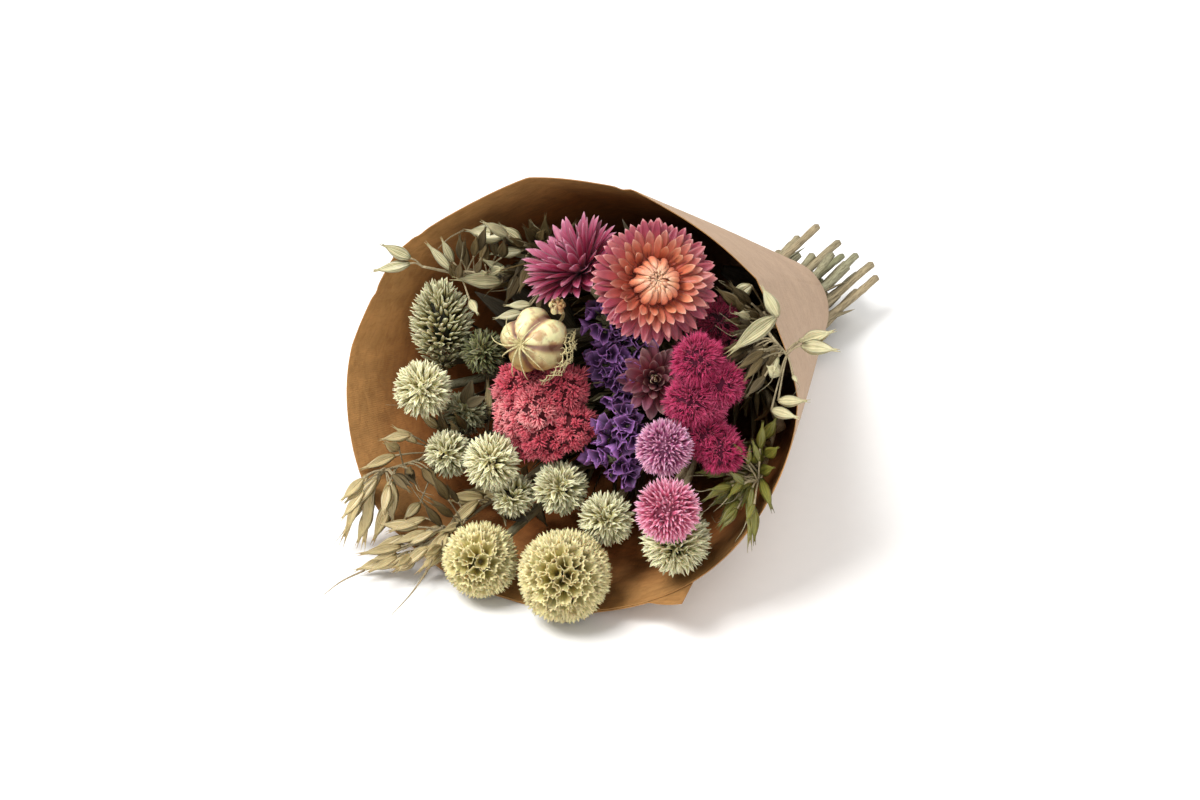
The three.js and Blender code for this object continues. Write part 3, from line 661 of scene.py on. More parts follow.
def by_tone(tree, tone, share, low, high):
    """Colours along `share`: the `low` ones where the tone is 0, the `high` ones where it is 1."""
    low, high = (add_node(tree, "ValToRGB", {"Fac": share}, stops=stops) for stops in (low, high))
    return add_node(tree, "Mix", {0: tone, 6: low, 7: high}, **LAID_OVER)


def waves(tree, across, pitch):
    """Fine lines that run along a petal, a husk or the paper. Their pitch is in radians, for half
    a petal's width or for a millimetre round the paper."""
    turns = add_node(tree, "Math", {0: across, 1: pitch}, operation="MULTIPLY")
    return add_node(tree, "Math", {0: turns}, operation="SINE")


def mottled(tree, shade, grain_mm, depth):
    """Makes a colour lighter and darker in patches of this size, and gives the patches too."""
    place = add_node(tree, "TexCoord", out="Object")
    scale = 1 / (grain_mm * MM)
    noise = add_node(tree, "TexNoise", {"Vector": place, "Scale": scale, "Detail": 4.0})
    level = add_node(tree, "MapRange", {
        "Value": noise, "From Min": 0.3, "From Max": 0.7,
        "To Min": 1 - depth, "To Max": 1 + depth,
    })
    return add_node(tree, "Mix", {0: 1.0, 6: shade, 7: level}, **MULTIPLIED), noise


def dressed(tree, shader, shade, height, relief_mm, strength):
    """Gives the shader its colour and a relief of the given depth."""
    tree.links.new(shade, shader.inputs["Base Color"])
    bump = {"Height": height, "Strength": strength, "Distance": relief_mm * MM}
    tree.links.new(add_node(tree, "Bump", bump), shader.inputs["Normal"])


def scaled(shade, share):
    return (*(min(1.0, channel * share) for channel in tuple(shade)[:3]), 1.0)


def kraft_paper(name, shade, rib_mm, depth, painted_shade_tint):
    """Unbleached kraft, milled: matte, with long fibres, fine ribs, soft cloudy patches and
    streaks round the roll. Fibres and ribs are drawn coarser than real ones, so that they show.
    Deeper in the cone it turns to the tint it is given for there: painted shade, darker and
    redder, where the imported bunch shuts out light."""
    material, tree, shader, along, across = new_material(
        name, 0.78, "along", "across", Specular_IOR_Level=0.25,
    )
    place = add_node(tree, "TexCoord", out="Object")
    drawn = add_node(tree, "Mapping", {"Vector": place, "Scale": (1, 0.16, 1)})
    fibres = add_node(
        tree, "TexNoise",
        {"Vector": drawn, "Scale": 1 / (0.9 * MM), "Detail": 6.0, "Roughness": 0.65},
    )
    fleck = add_node(
        tree, "ValToRGB", {"Fac": fibres}, stops=[(0.3, (0.82, 0.8, 0.78, 1)), (0.5, WHITE)],
    )
    around = add_node(tree, "CombineXYZ", {0: across, 1: along})
    finer = (1 / 8, PAPER_LENGTH / 2.4, 1)
    rolled = add_node(tree, "Mapping", {"Vector": around, "Scale": finer})
    streaks = add_node(
        tree, "TexNoise", {"Vector": rolled, "Scale": 1.0, "Detail": 3.0, "Distortion": 0.8},
    )
    streaked = add_node(
        tree, "ValToRGB", {"Fac": streaks},
        stops=[(0.34, (0.86, 0.83, 0.8, 1)), (0.5, WHITE), (0.7, (1.12, 1.1, 1.08, 1))],
    )
    # Painted shade: the sheet darkens and reddens from the lip towards the neck.
    painted_depth_shade = add_node(
        tree, "ValToRGB", {"Fac": along},
        stops=[(0.04, WHITE), (0.2, scaled(painted_shade_tint, 2.0)), (0.5, painted_shade_tint)],
    )
    coloured, _ = mottled(tree, tuple(shade), 22, depth)
    coloured, _ = mottled(tree, coloured, 5, depth * 0.8)
    for share, tint in ((0.8, fleck), (min(1.0, depth * 8), streaked), (1.0, painted_depth_shade)):
        coloured = add_node(tree, "Mix", {0: share, 6: coloured, 7: tint}, **MULTIPLIED)
    ribs = waves(tree, across, TURN / rib_mm)
    relief = add_node(tree, "Math", {0: ribs, 1: 0.25, 2: fibres}, operation="MULTIPLY_ADD")
    dressed(tree, shader, coloured, relief, 0.12, 0.6)
    return material


def dry_bract(name, outer, inner, roughness=0.42):
    """Dry papery bract: a faint gloss, fine veins lengthwise, and its own colour at the root,
    middle and tip. `outer` and `inner` are those colours at the rim and heart of the flower."""
    material, tree, shader, along, across, tone = new_material(
        name, roughness, *POINT_VALUES,
        Subsurface_Weight=0.12, Subsurface_Scale=1.2 * MM, Sheen_Weight=0.1,
    )
    shade, noise = mottled(tree, by_tone(tree, tone, along, outer, inner), 2.5, 0.1)
    veins = waves(tree, across, 19.0)
    relief = add_node(tree, "Math", {0: veins, 1: 0.35, 2: noise}, operation="MULTIPLY_ADD")
    dressed(tree, shader, shade, relief, 0.12, 0.5)
    return material


def plush(name, dark, body, tip, pale):
    """Cockscomb plush: matte and velvety, dark between the plumes and pale at their ends. The dark
    roots and cores are painted shade in the gaps between the tufts; the pale ends are partly the
    plush's paler tips and partly painted highlight.
    """
    material, tree, shader, along, tone = new_material(
        name, 0.8, "along", "tone",
        Sheen_Weight=0.12, Sheen_Roughness=0.45, Specular_IOR_Level=0.3,
    )
    deep = [(0.0, dark), (0.45, body), (1.0, tip)]
    light = [(0.0, body), (0.5, tip), (1.0, pale)]
    shade, noise = mottled(tree, by_tone(tree, tone, along, deep, light), 5, 0.16)
    dressed(tree, shader, shade, noise, 0.1, 0.3)
    return material


def grass_husk(name, cream, keel, shade):
    """Canary grass husk: papery and matte, cream at its edges, with a green line on its keel. It
    darkens towards its root, and on the head's core, as painted shade deep among the packed husks.
    """
    material, tree, shader, along, across, tone = new_material(
        name, 0.6, *POINT_VALUES, Subsurface_Weight=0.08, Subsurface_Scale=MM,
    )
    off_keel = add_node(tree, "Math", {0: across}, operation="ABSOLUTE")
    dull = [(0.0, scaled(shade, 0.7)), (0.3, shade), (1.0, scaled(keel, 0.66))]
    light = [(0.0, keel), (0.3, scaled(cream, 0.8)), (1.0, cream)]
    husk = by_tone(tree, tone, off_keel, dull, light)
    # Painted shade: darker towards each husk's root, deep in the packed head.
    painted_root_shade = add_node(
        tree, "ValToRGB", {"Fac": along},
        stops=[(0.0, linear("#3C3616")), (0.4, linear("#CCC492")), (0.7, WHITE)],
    )
    husk = add_node(tree, "Mix", {0: 0.9, 6: husk, 7: painted_root_shade}, **MULTIPLIED)
    husk, noise = mottled(tree, husk, 3, 0.12)
    dressed(tree, shader, husk, noise, 0.1, 0.4)
    return material


def papery_cup(name, floor, inside, rim, roughness=0.55, darkest=0.72):
    """Dry papery cup: dark in its throat, pale and thin at its pleated rim."""
    material, tree, shader, along, across, tone = new_material(
        name, roughness, *POINT_VALUES, Subsurface_Weight=0.1, Subsurface_Scale=MM,
    )
    shade = add_node(
        tree, "ValToRGB", {"Fac": along},
        stops=[(0.0, floor), (0.5, inside), (0.84, rim), (1.0, scaled(rim, 1.18))],
    )
    level = add_node(tree, "MapRange", {"Value": tone, "To Min": darkest, "To Max": 1.2})
    pleats = add_node(
        tree, "MapRange", {"Value": across, "From Min": -1, "To Min": 0.82, "To Max": 1.08},
    )
    for tint in (level, pleats):
        shade = add_node(tree, "Mix", {0: 1.0, 6: shade, 7: tint}, **MULTIPLIED)
    shade, noise = mottled(tree, shade, 2, 0.12)
    dressed(tree, shader, shade, noise, 0.1, 0.4)
    return material


def oat_husk(name, straw, vein, tip):
    """Oat husk: smooth dry straw with a satin gloss, striped by the veins along it."""
    material, tree, shader, along, across, tone = new_material(
        name, 0.38, *POINT_VALUES, Subsurface_Weight=0.08, Subsurface_Scale=MM,
    )
    veins = waves(tree, across, 16.0)
    line = add_node(tree, "MapRange", {"Value": veins, "From Min": 0.1, "From Max": 0.9})
    ends = add_node(
        tree, "ValToRGB", {"Fac": along},
        stops=[(0.0, vein), (0.18, WHITE), (0.72, WHITE), (1.0, tip)],
    )
    shade = add_node(tree, "Mix", {0: line, 6: tuple(straw), 7: tuple(vein)}, **LAID_OVER)
    shade = add_node(tree, "Mix", {0: 0.85, 6: shade, 7: ends}, **MULTIPLIED)
    shade = add_node(tree, "Mix", {0: tone, 6: shade, 7: scaled(straw, 1.08)}, **LAID_OVER)
    shade, noise = mottled(tree, shade, 4, 0.12)
    soft = add_node(tree, "Math", {0: noise, 1: 0.4}, operation="MULTIPLY")
    relief = add_node(tree, "Math", {0: soft, 1: veins}, operation="SUBTRACT")
    dressed(tree, shader, shade, relief, 0.08, 0.4)
    return material


def pod_wall(name, wall, stripe):
    """Nigella capsule: a blown-up papery wall, waxy and pale, with brown stripes on its seams,
    and brown all over its lower side as painted shade."""
    material, tree, shader, across, tone = new_material(
        name, 0.42, "across", "tone", Subsurface_Weight=0.2, Subsurface_Scale=2 * MM,
    )
    shade = add_node(
        tree, "ValToRGB", {"Fac": across},
        stops=[(0.0, linear("#F4ECB6")), (0.3, wall), (0.62, linear("#D2BC8A")),
               (0.86, stripe), (1.0, scaled(stripe, 0.75))],
    )
    place = add_node(tree, "TexCoord", out="Object")
    blotch = add_node(tree, "TexNoise", {"Vector": place, "Scale": 1 / (5 * MM), "Detail": 5.0})
    blotches = add_node(
        tree, "ValToRGB", {"Fac": blotch}, stops=[(0.5, WHITE), (0.62, linear("#C49C8C"))],
    )
    # Painted shade: the tone marks the pod's lower side, which is tinted brown there.
    for share, tint in ((tone, linear("#A08458")), (0.8, blotches)):
        shade = add_node(tree, "Mix", {0: share, 6: shade, 7: tint}, **MULTIPLIED)
    shade, noise = mottled(tree, shade, 3.5, 0.14)
    dressed(tree, shader, shade, noise, 0.2, 0.5)
    return material


def dry_stem(name, green, tan):
    """Dried stem: matte and ribbed lengthwise, grey green to tan, with darker flecks. Its streaks
    are drawn coarser than real fibres, so that they show."""
    material, tree, shader, tone = new_material(name, 0.7, "tone")
    body = add_node(tree, "Mix", {0: tone, 6: tuple(green), 7: tuple(tan)}, **LAID_OVER)
    place = add_node(tree, "TexCoord", out="Object")
    drawn = add_node(tree, "Mapping", {"Vector": place, "Scale": (1, 0.07, 1)})
    streaks = add_node(tree, "TexNoise", {"Vector": drawn, "Scale": 1 / (0.5 * MM), "Detail": 5.0})
    flecks = add_node(
        tree, "ValToRGB", {"Fac": streaks}, stops=[(0.3, linear("#9A8E72")), (0.55, WHITE)],
    )
    body = add_node(tree, "Mix", {0: 0.8, 6: body, 7: flecks}, **MULTIPLIED)
    shade, _ = mottled(tree, body, 7, 0.16)
    dressed(tree, shader, shade, streaks, 0.15, 0.6)
    return material


def dry_leaf(name, light):
    """Dry grass leaf: matte and fibrous, olive to brown, lined lengthwise."""
    material, tree, shader, across, tone = new_material(name, 0.62, "across", "tone")
    # Tone 0 is this dark end. The lone leaves set near it, and the dark spikelets drawn in this
    # material, are darkened by it as painted shade.
    dark = scaled(light, 0.4)
    body = add_node(tree, "Mix", {0: tone, 6: dark, 7: tuple(light)}, **LAID_OVER)
    veins = waves(tree, across, 22.0)
    lines = add_node(
        tree, "MapRange", {"Value": veins, "From Min": -1, "To Min": 0.8, "To Max": 1.1},
    )
    body = add_node(tree, "Mix", {0: 1.0, 6: body, 7: lines}, **MULTIPLIED)
    shade, noise = mottled(tree, body, 6, 0.2)
    relief = add_node(tree, "Math", {0: noise, 1: veins}, operation="ADD")
    dressed(tree, shader, shade, relief, 0.1, 0.4)
    return material


def stem_and_leaf(name, stems):
    """The materials of a stem and of the leaves on it."""
    return [dry_stem(f"{name}_stem", stems.green, stems.tan), dry_leaf(f"{name}_leaf", stems.leaf)]


def jute_twine(name, shade):
    """Two-ply jute: rough and matte, lighter at its edges, where loose fibres catch the light.
    Its fibres are drawn coarser than real ones, so that they show."""
    material, tree, shader = new_material(name, 0.9, Sheen_Weight=0.3)
    speckled, noise = mottled(tree, tuple(shade), 0.6, 0.3)
    dressed(tree, shader, speckled, noise, 0.2, 0.8)
    return material


def painted_floor(name, shade):
    """Matte painted studio floor: even, with the faintest grain of a roller."""
    material, tree, shader = new_material(name, 0.9, Specular_IOR_Level=0.1)
    speckled, noise = mottled(tree, tuple(shade), 6, 0.005)
    dressed(tree, shader, speckled, noise, 0.05, 0.05)
    return material


# ------------------------------------------------------------------ stems

def stem_line(name):
    """The stem of a CAD node as it passes the cone's narrow end and the tie, from its cut end
    on: the middles of the rings of points that the solid has there, in the mouth frame."""
    vertices = np.array([v.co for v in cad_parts[name].data.vertices], float)
    local = to_mouth(np.unique(np.round(vertices / MM, 3), axis=0))
    past_neck = local[:, 2] < -PAPER_LENGTH - 12
    at_neck = np.abs(local[:, 2] + PAPER_LENGTH) < 8
    at_tie = np.abs(local[:, 2] + TIE_DEPTH) < 8
    return [local[ring].mean(axis=0) for ring in (past_neck, at_neck, at_tie)]


def lip_depth(turn):
    """How far behind the mouth's middle the lip is at each turn round the cone."""
    back = LIP_LEAN_BACK * MOUTH_HALF_HEIGHT * np.sin(turn)
    return back + LIP_LEAN_SIDE * MOUTH_HALF_WIDTH * np.cos(turn)


def is_clear(points):
    """Whether all of these places are inside the cone or past its lip, and over the floor."""
    x, y, z = np.transpose(points)
    half_width, half_height = cone_reach(1 + z / PAPER_LENGTH)
    inside = np.hypot(x / half_width, y / half_height) < CLEAR_SHARE
    turn = np.arctan2(y / MOUTH_HALF_HEIGHT, x / MOUTH_HALF_WIDTH)
    height = to_object(np.asarray(points, float))[:, 2]
    past_lip = z > CLEARANCE - lip_depth(turn)
    return bool(np.all((inside | past_lip) & (height > CLEARANCE)))


def add_stem(form, node, at, facing, base, radius, slot=0, leaves=0):
    """A ribbed stem from its cut end to the back of its head. Its leaves take the next slot."""
    way = unit(facing)
    end = np.array(at, float) - way * base
    tail, neck, tie = stem_line(node)
    random = seeded(node)
    path = smooth_path([tail, neck, tie, end - way * NECK_BEND, end + way * 1.5], 12)
    share = np.linspace(0, 1, len(path))
    path[:, 0] += 0.25 * np.sin(share * 23 + random.uniform(0, 6))
    path[:, 1] += 0.25 * np.sin(share * 19 + random.uniform(0, 6))
    radii = radius * random.uniform(0.9, 1.02, len(path))
    form.stand()
    strand(form, path, radii, sides=10, ribs=0.07, tone=random.random(), slot=slot)
    for i in range(leaves):
        add_leaf(form, path, random, slot + 1, HIGH_LEAF if i % 3 else LOW_LEAF)
    for root, tip, width, tone in LONE_LEAVES.get(node, ()):
        way = np.subtract(tip, root)
        blades(
            form, root, way, TOWARDS_VIEWER, np.linalg.norm(way), width, pointed(0.4, 0.4, 0.9),
            curl=-0.3, cup=0.5, rings=12, tone=tone, slot=slot + 1,
        )
    for _ in range(3):
        add_sheath(form, path, random, slot)


def add_sheath(form, path, random, slot):
    """A dry leaf sheath that lies along the stem and comes out of the cone's narrow end."""
    k = random.integers(11, 17)
    back = unit(path[k - 4] - path[k])
    face = unit(np.cross(back, random.normal(0, 1, 3)))
    length = random.uniform(22, 40)
    tip = path[k] + (back + face * 0.08) * length
    if to_object(tip)[2] > CLEARANCE:
        blades(
            form, path[k], back + face * 0.06, face, length, random.uniform(2.2, 3.8),
            pointed(0.3, 0.6, 0.8), curl=random.uniform(-0.08, 0.08), cup=0.8, rings=10,
            tone=random.random(), slot=slot,
        )


def add_leaf(form, path, random, slot, leaf):
    """A dry leaf that leaves the stem inside the cone. A high one leans towards the bunch's
    middle, and a low one grows near the tie and leans outwards. One that would show is tried
    again."""
    for _ in range(8):
        k = random.integers(*leaf["steps"])
        heading = unit(path[k + 1] - path[k])
        away = path[k] * (1, 1, 0)
        sideways = random.normal(0, 1, 3) + away / leaf["off_middle"]
        face = unit(sideways - (sideways @ heading) * heading)
        curl, length, width = (random.uniform(*leaf[key]) for key in ("curl", "length", "width"))
        reach = (heading * math.cos(curl / 2) + face * math.sin(curl / 2)) * length
        tip = path[k] + reach
        out = math.hypot(tip[0] / MOUTH_HALF_WIDTH, tip[1] / MOUTH_HALF_HEIGHT)
        is_hidden = tip[2] < HIDDEN_BEHIND and out < HIDDEN_SHARE
        if is_hidden and is_clear([path[k] + reach / 2, tip]):
            blades(
                form, path[k], heading, face, length, width, pointed(0.35, 0.5, 0.85),
                curl=curl, cup=0.5, rings=10, tone=random.random(), slot=slot,
            )
            return


# ------------------------------------------------------------------ operators

class MakePaper(bpy.types.Operator):
    """Make the kraft sheet, rolled into a cone with its lap underneath"""

    bl_idname = "bouquet.make_paper"
    bl_label = "Paper cone"

    def execute(self, context):
        paper = context.scene.bouquet_paper
        thickness = paper.thickness / MM
        turns, steps = 420, 60
        turn = np.linspace(SHEET_START, SHEET_END, turns)[:, None]
        share = np.linspace(0, 1, steps)[None]
        rolled = (turn - SHEET_START) / (SHEET_END - SHEET_START)
        # The sheet's end lies outside its start, so that its two layers part in the lap.
        layer = (rolled - 0.5) * thickness * 2.1
        out = layer + self.creases(turn, share, paper.crumple / MM)
        outer = self.places(turn, share, rolled, out, 0.0)
        inner = self.places(turn, share, rolled, out - thickness, thickness)
        form = Form()
        self.add_wall(form, outer, turn, share, 0, False)
        self.add_wall(form, inner, turn, share, 1, True)
        self.add_rim(form, outer, inner)
        materials = [
            kraft_paper("kraft_paper_smooth_face", paper.outside, 1.1, 0.05, WHITE),
            # The rough face darkens and reddens to this tint deep in the cone, as painted shade.
            kraft_paper("kraft_paper_rough_face", paper.inside, 0.9, 0.12, (0.4, 0.27, 0.2, 1)),
        ]
        form.build("paper_cone", materials, ["paper_wrap"], in_mouth=False)
        return {"FINISHED"}

    def creases(self, turn, share, depth):
        """Long soft waves, and narrow creases that run from the mouth towards the neck."""
        open_end = 1 - share
        out = depth * 0.5 * open_end * np.sin(3 * turn + 1.1 + 1.5 * share)
        out = out + depth * 0.35 * open_end * np.sin(7 * turn + 4 * share)
        random = np.random.default_rng(5)
        for _ in range(22):
            start, drift = random.uniform(SHEET_START, SHEET_END), random.normal(0, 0.16)
            width = random.uniform(0.012, 0.03)
            fade = np.exp(-((share - random.uniform(0, 0.7)) / random.uniform(0.12, 0.4)) ** 2)
            ridge = np.exp(-((turn - start - drift * share) / width) ** 2)
            out = out + random.uniform(-0.7, 0.5) * depth * ridge * fade
        # Between two folds the sheet runs nearer to the straight line from one to the other.
        for start, end in zip(FOLDS, FOLDS[1:]):
            within = (turn > start) & (turn < end)
            chord = math.cos((end - start) / 2) / np.cos(turn - (start + end) / 2)
            out = out - within * (1 - chord) * MOUTH_HALF_HEIGHT * 0.5 * open_end
        return out - 0.3

    def places(self, turn, share, rolled, out, lowest):
        """One face of the sheet, this far out from the plain cone. The floor presses it flat."""
        past_corner = np.clip((turn - SHEET_END) / CORNER_SPAN + 1, 0, 1)
        wavy = 0.5 * np.sin(9 * turn) + 0.8 * np.sin(4 * turn + 2)
        lip = lip_depth(turn) + wavy - CORNER_LENGTH * past_corner
        depth = lip + (PAPER_LENGTH - lip) * share
        opening = 1 - depth / PAPER_LENGTH
        half_width, half_height = cone_reach(opening)
        across = (half_width + out) * np.cos(turn)
        up = (half_height + out) * np.sin(turn)
        height = MOUTH_HEIGHT + up * math.cos(LEAN) - depth * math.sin(LEAN)
        back = -MOUTH_FORWARD + up * math.sin(LEAN) + depth * math.cos(LEAN)
        under_lap = (rolled < 0.3) * 0.4
        return np.stack([across, back, np.maximum(height, lowest + under_lap)], axis=-1)

    def add_wall(self, form, places, turn, share, slot, flipped):
        """One face as quads, with where each point is on the flat sheet."""
        turns, steps = places.shape[:2]
        here = (np.arange(turns - 1)[:, None] * steps + np.arange(steps - 1)).ravel()
        quads = np.stack([here, here + 1, here + steps + 1, here + steps], axis=-1)
        quads = quads[:, ::-1] if flipped else quads
        around = np.broadcast_to(turn * MOUTH_HALF_WIDTH, places.shape[:2])
        form.add(places, [quads], np.broadcast_to(share, places.shape[:2]), around, 0.5, slot)

    def add_rim(self, form, outer, inner):
        """Closes the sheet's four edges, from face to face."""
        edges = [
            (outer[:, 0], inner[:, 0]), (inner[:, -1], outer[:, -1]),
            (inner[0], outer[0]), (outer[-1], inner[-1]),
        ]
        for first, second in edges:
            places = np.stack([first, second], axis=1)
            here = np.arange(len(first) - 1) * 2
            quads = np.stack([here, here + 2, here + 3, here + 1], axis=-1)
            form.add(places, [quads], 0.0, 0.0, 0.5, 1)


# Groups of bracts from the rim to the heart: how many, then from the first to the last their
# tilt from the flower's axis, where they start and how long they are as shares of its radius,
# their width, their curl towards the axis, and their tone from rim to heart.
BRACTS = {
    "coral_strawflower": [
        (26, (2.1, 1.8), (0.24, 0.3), (0.3, 0.5), (3.2, 3.8), (-0.1, -0.1), (0, 0)),
        (62, (1.66, 1.42), (0.34, 0.33), (0.66, 0.64), (4.1, 4.0), (-0.12, 0.05), (0, 0.05)),
        (52, (1.3, 0.85), (0.36, 0.38), (0.56, 0.36), (3.8, 3.0), (0.1, 0.7), (0.12, 0.75)),
        (110, (0.42, 0), (0.38, 0.02), (0.5, 0.24), (3.0, 1.6), (2.0, 1.2), (0.75, 1)),
    ],
    "magenta_strawflower": [
        (26, (2.0, 1.6), (0.16, 0.2), (0.3, 0.6), (3.6, 3.8), (-0.1, -0.1), (0, 0)),
        (40, (1.5, 1.15), (0.2, 0.2), (0.74, 0.86), (4.2, 4.2), (-0.2, 0), (0, 0.15)),
        (38, (1.1, 0.6), (0.19, 0.14), (0.86, 0.92), (4.2, 3.8), (-0.1, 0.05), (0.1, 0.4)),
        (18, (0.5, 0.05), (0.2, 0.02), (0.8, 0.66), (3.4, 2.8), (0.1, 0.3), (0.4, 0.8)),
    ],
    "rose_strawflower": [
        (20, (1.5, 1.0), (0.24, 0.2), (0.94, 0.84), (5.0, 4.6), (0.1, 0.45), (0, 0.15)),
        (20, (0.9, 0.3), (0.2, 0.08), (0.9, 0.74), (4.2, 3.4), (0.3, 0.5), (0.05, 0.4)),
        (8, (0.25, 0), (0.08, 0), (0.8, 0.66), (2.6, 2.2), (0.2, 0.1), (0.7, 1)),
    ],
}


class MakeStrawflowers(bpy.types.Operator):
    """Make the coral, magenta and rose strawflowers"""

    bl_idname = "bouquet.make_strawflowers"
    bl_label = "Strawflowers"

    def execute(self, context):
        flowers = context.scene.bouquet_strawflowers
        coral = dry_bract(
            "coral_strawflower_bract",
            [(0.0, linear("#B8503A")), (0.35, linear("#A6403F")), (0.75, flowers.coral_outer),
             (0.92, linear("#A04454")), (1.0, linear("#D48E90"))],
            [(0.0, linear("#B84A24")), (0.35, flowers.coral_inner), (0.72, linear("#E6966C")),
             (1.0, linear("#F4C8A0"))],
        )
        magenta = dry_bract(
            "magenta_strawflower_bract",
            [(0.0, linear("#5E0E26")), (0.35, linear("#94244C")), (0.7, flowers.magenta),
             (0.9, flowers.magenta_tip), (1.0, linear("#D09CAC"))],
            [(0.0, linear("#5E0E26")), (0.5, flowers.magenta), (1.0, flowers.magenta_tip)],
        )
        rose = dry_bract(
            "rose_strawflower_bract",
            [(0.0, linear("#4A0C1A")), (0.4, flowers.rose), (0.75, linear("#84465A")),
             (1.0, linear("#9C6878"))],
            [(0.0, linear("#5A1420")), (0.5, linear("#A04A46")), (1.0, linear("#EAD2A4"))],
            0.65,
        )
        sheets = {
            "coral_strawflower": (coral, flowers.coral_radius, "coral_petals", 3),
            "magenta_strawflower": (magenta, flowers.magenta_radius, "magenta_petals", 4),
            "rose_strawflower": (rose, flowers.rose_radius, "rose_petals", 5),
        }
        for name, (at, facing, base) in STRAWFLOWERS.items():
            material, radius, slot_name, seed = sheets[name]
            form = Form(at, facing)
            self.add_flower(form, radius / MM, base, BRACTS[name], np.random.default_rng(seed))
            form.build(name, [material], [name])
        return {"FINISHED"}

    def add_flower(self, form, radius, base, groups, random):
        heart = radius * groups[-1][2][0]
        strand(
            form, [(0, 0, -base), (0, 0, -base * 0.5), (0, 0, -1), (0, 0, 0.5)],
            [1.7, heart * 0.6, heart, heart * 0.5], sides=14, tone=0.0,
        )
        for group in groups:
            self.add_bracts(form, radius, random, *group)

    def add_bracts(self, form, radius, random, count, tilt, root, length, width, curl, tone):
        """One spiral of bracts, from the rim inwards."""
        share = np.arange(count) / count
        turn = np.arange(count) * TURN * GOLDEN_SHARE + random.uniform(0, 6)
        ends = (tilt, root, length, width, curl, tone)
        tilt, root, length, width, curl, tone = (np.interp(share, (0, 1), pair) for pair in ends)
        lean = tilt + random.normal(0, 0.06, count)
        radial = round_axis(turn)
        top = np.array([0, 0, 1.0])
        ahead = radial * np.sin(lean)[:, None] + top * np.cos(lean)[:, None]
        face = top * np.sin(lean)[:, None] - radial * np.cos(lean)[:, None]
        start = radial * root[:, None] * radius + random.normal(0, 0.15, (count, 3))
        blades(
            form, start, ahead, face, length * radius * random.uniform(0.92, 1.04, count),
            width * random.uniform(0.9, 1.1, count), pointed(0.58, 0.5, 0.6),
            curl=curl + random.normal(0, 0.1, count), cup=random.uniform(0.2, 0.6, count),
            rings=12, tone=np.clip(tone + random.normal(0, 0.07, count), 0, 1),
        )


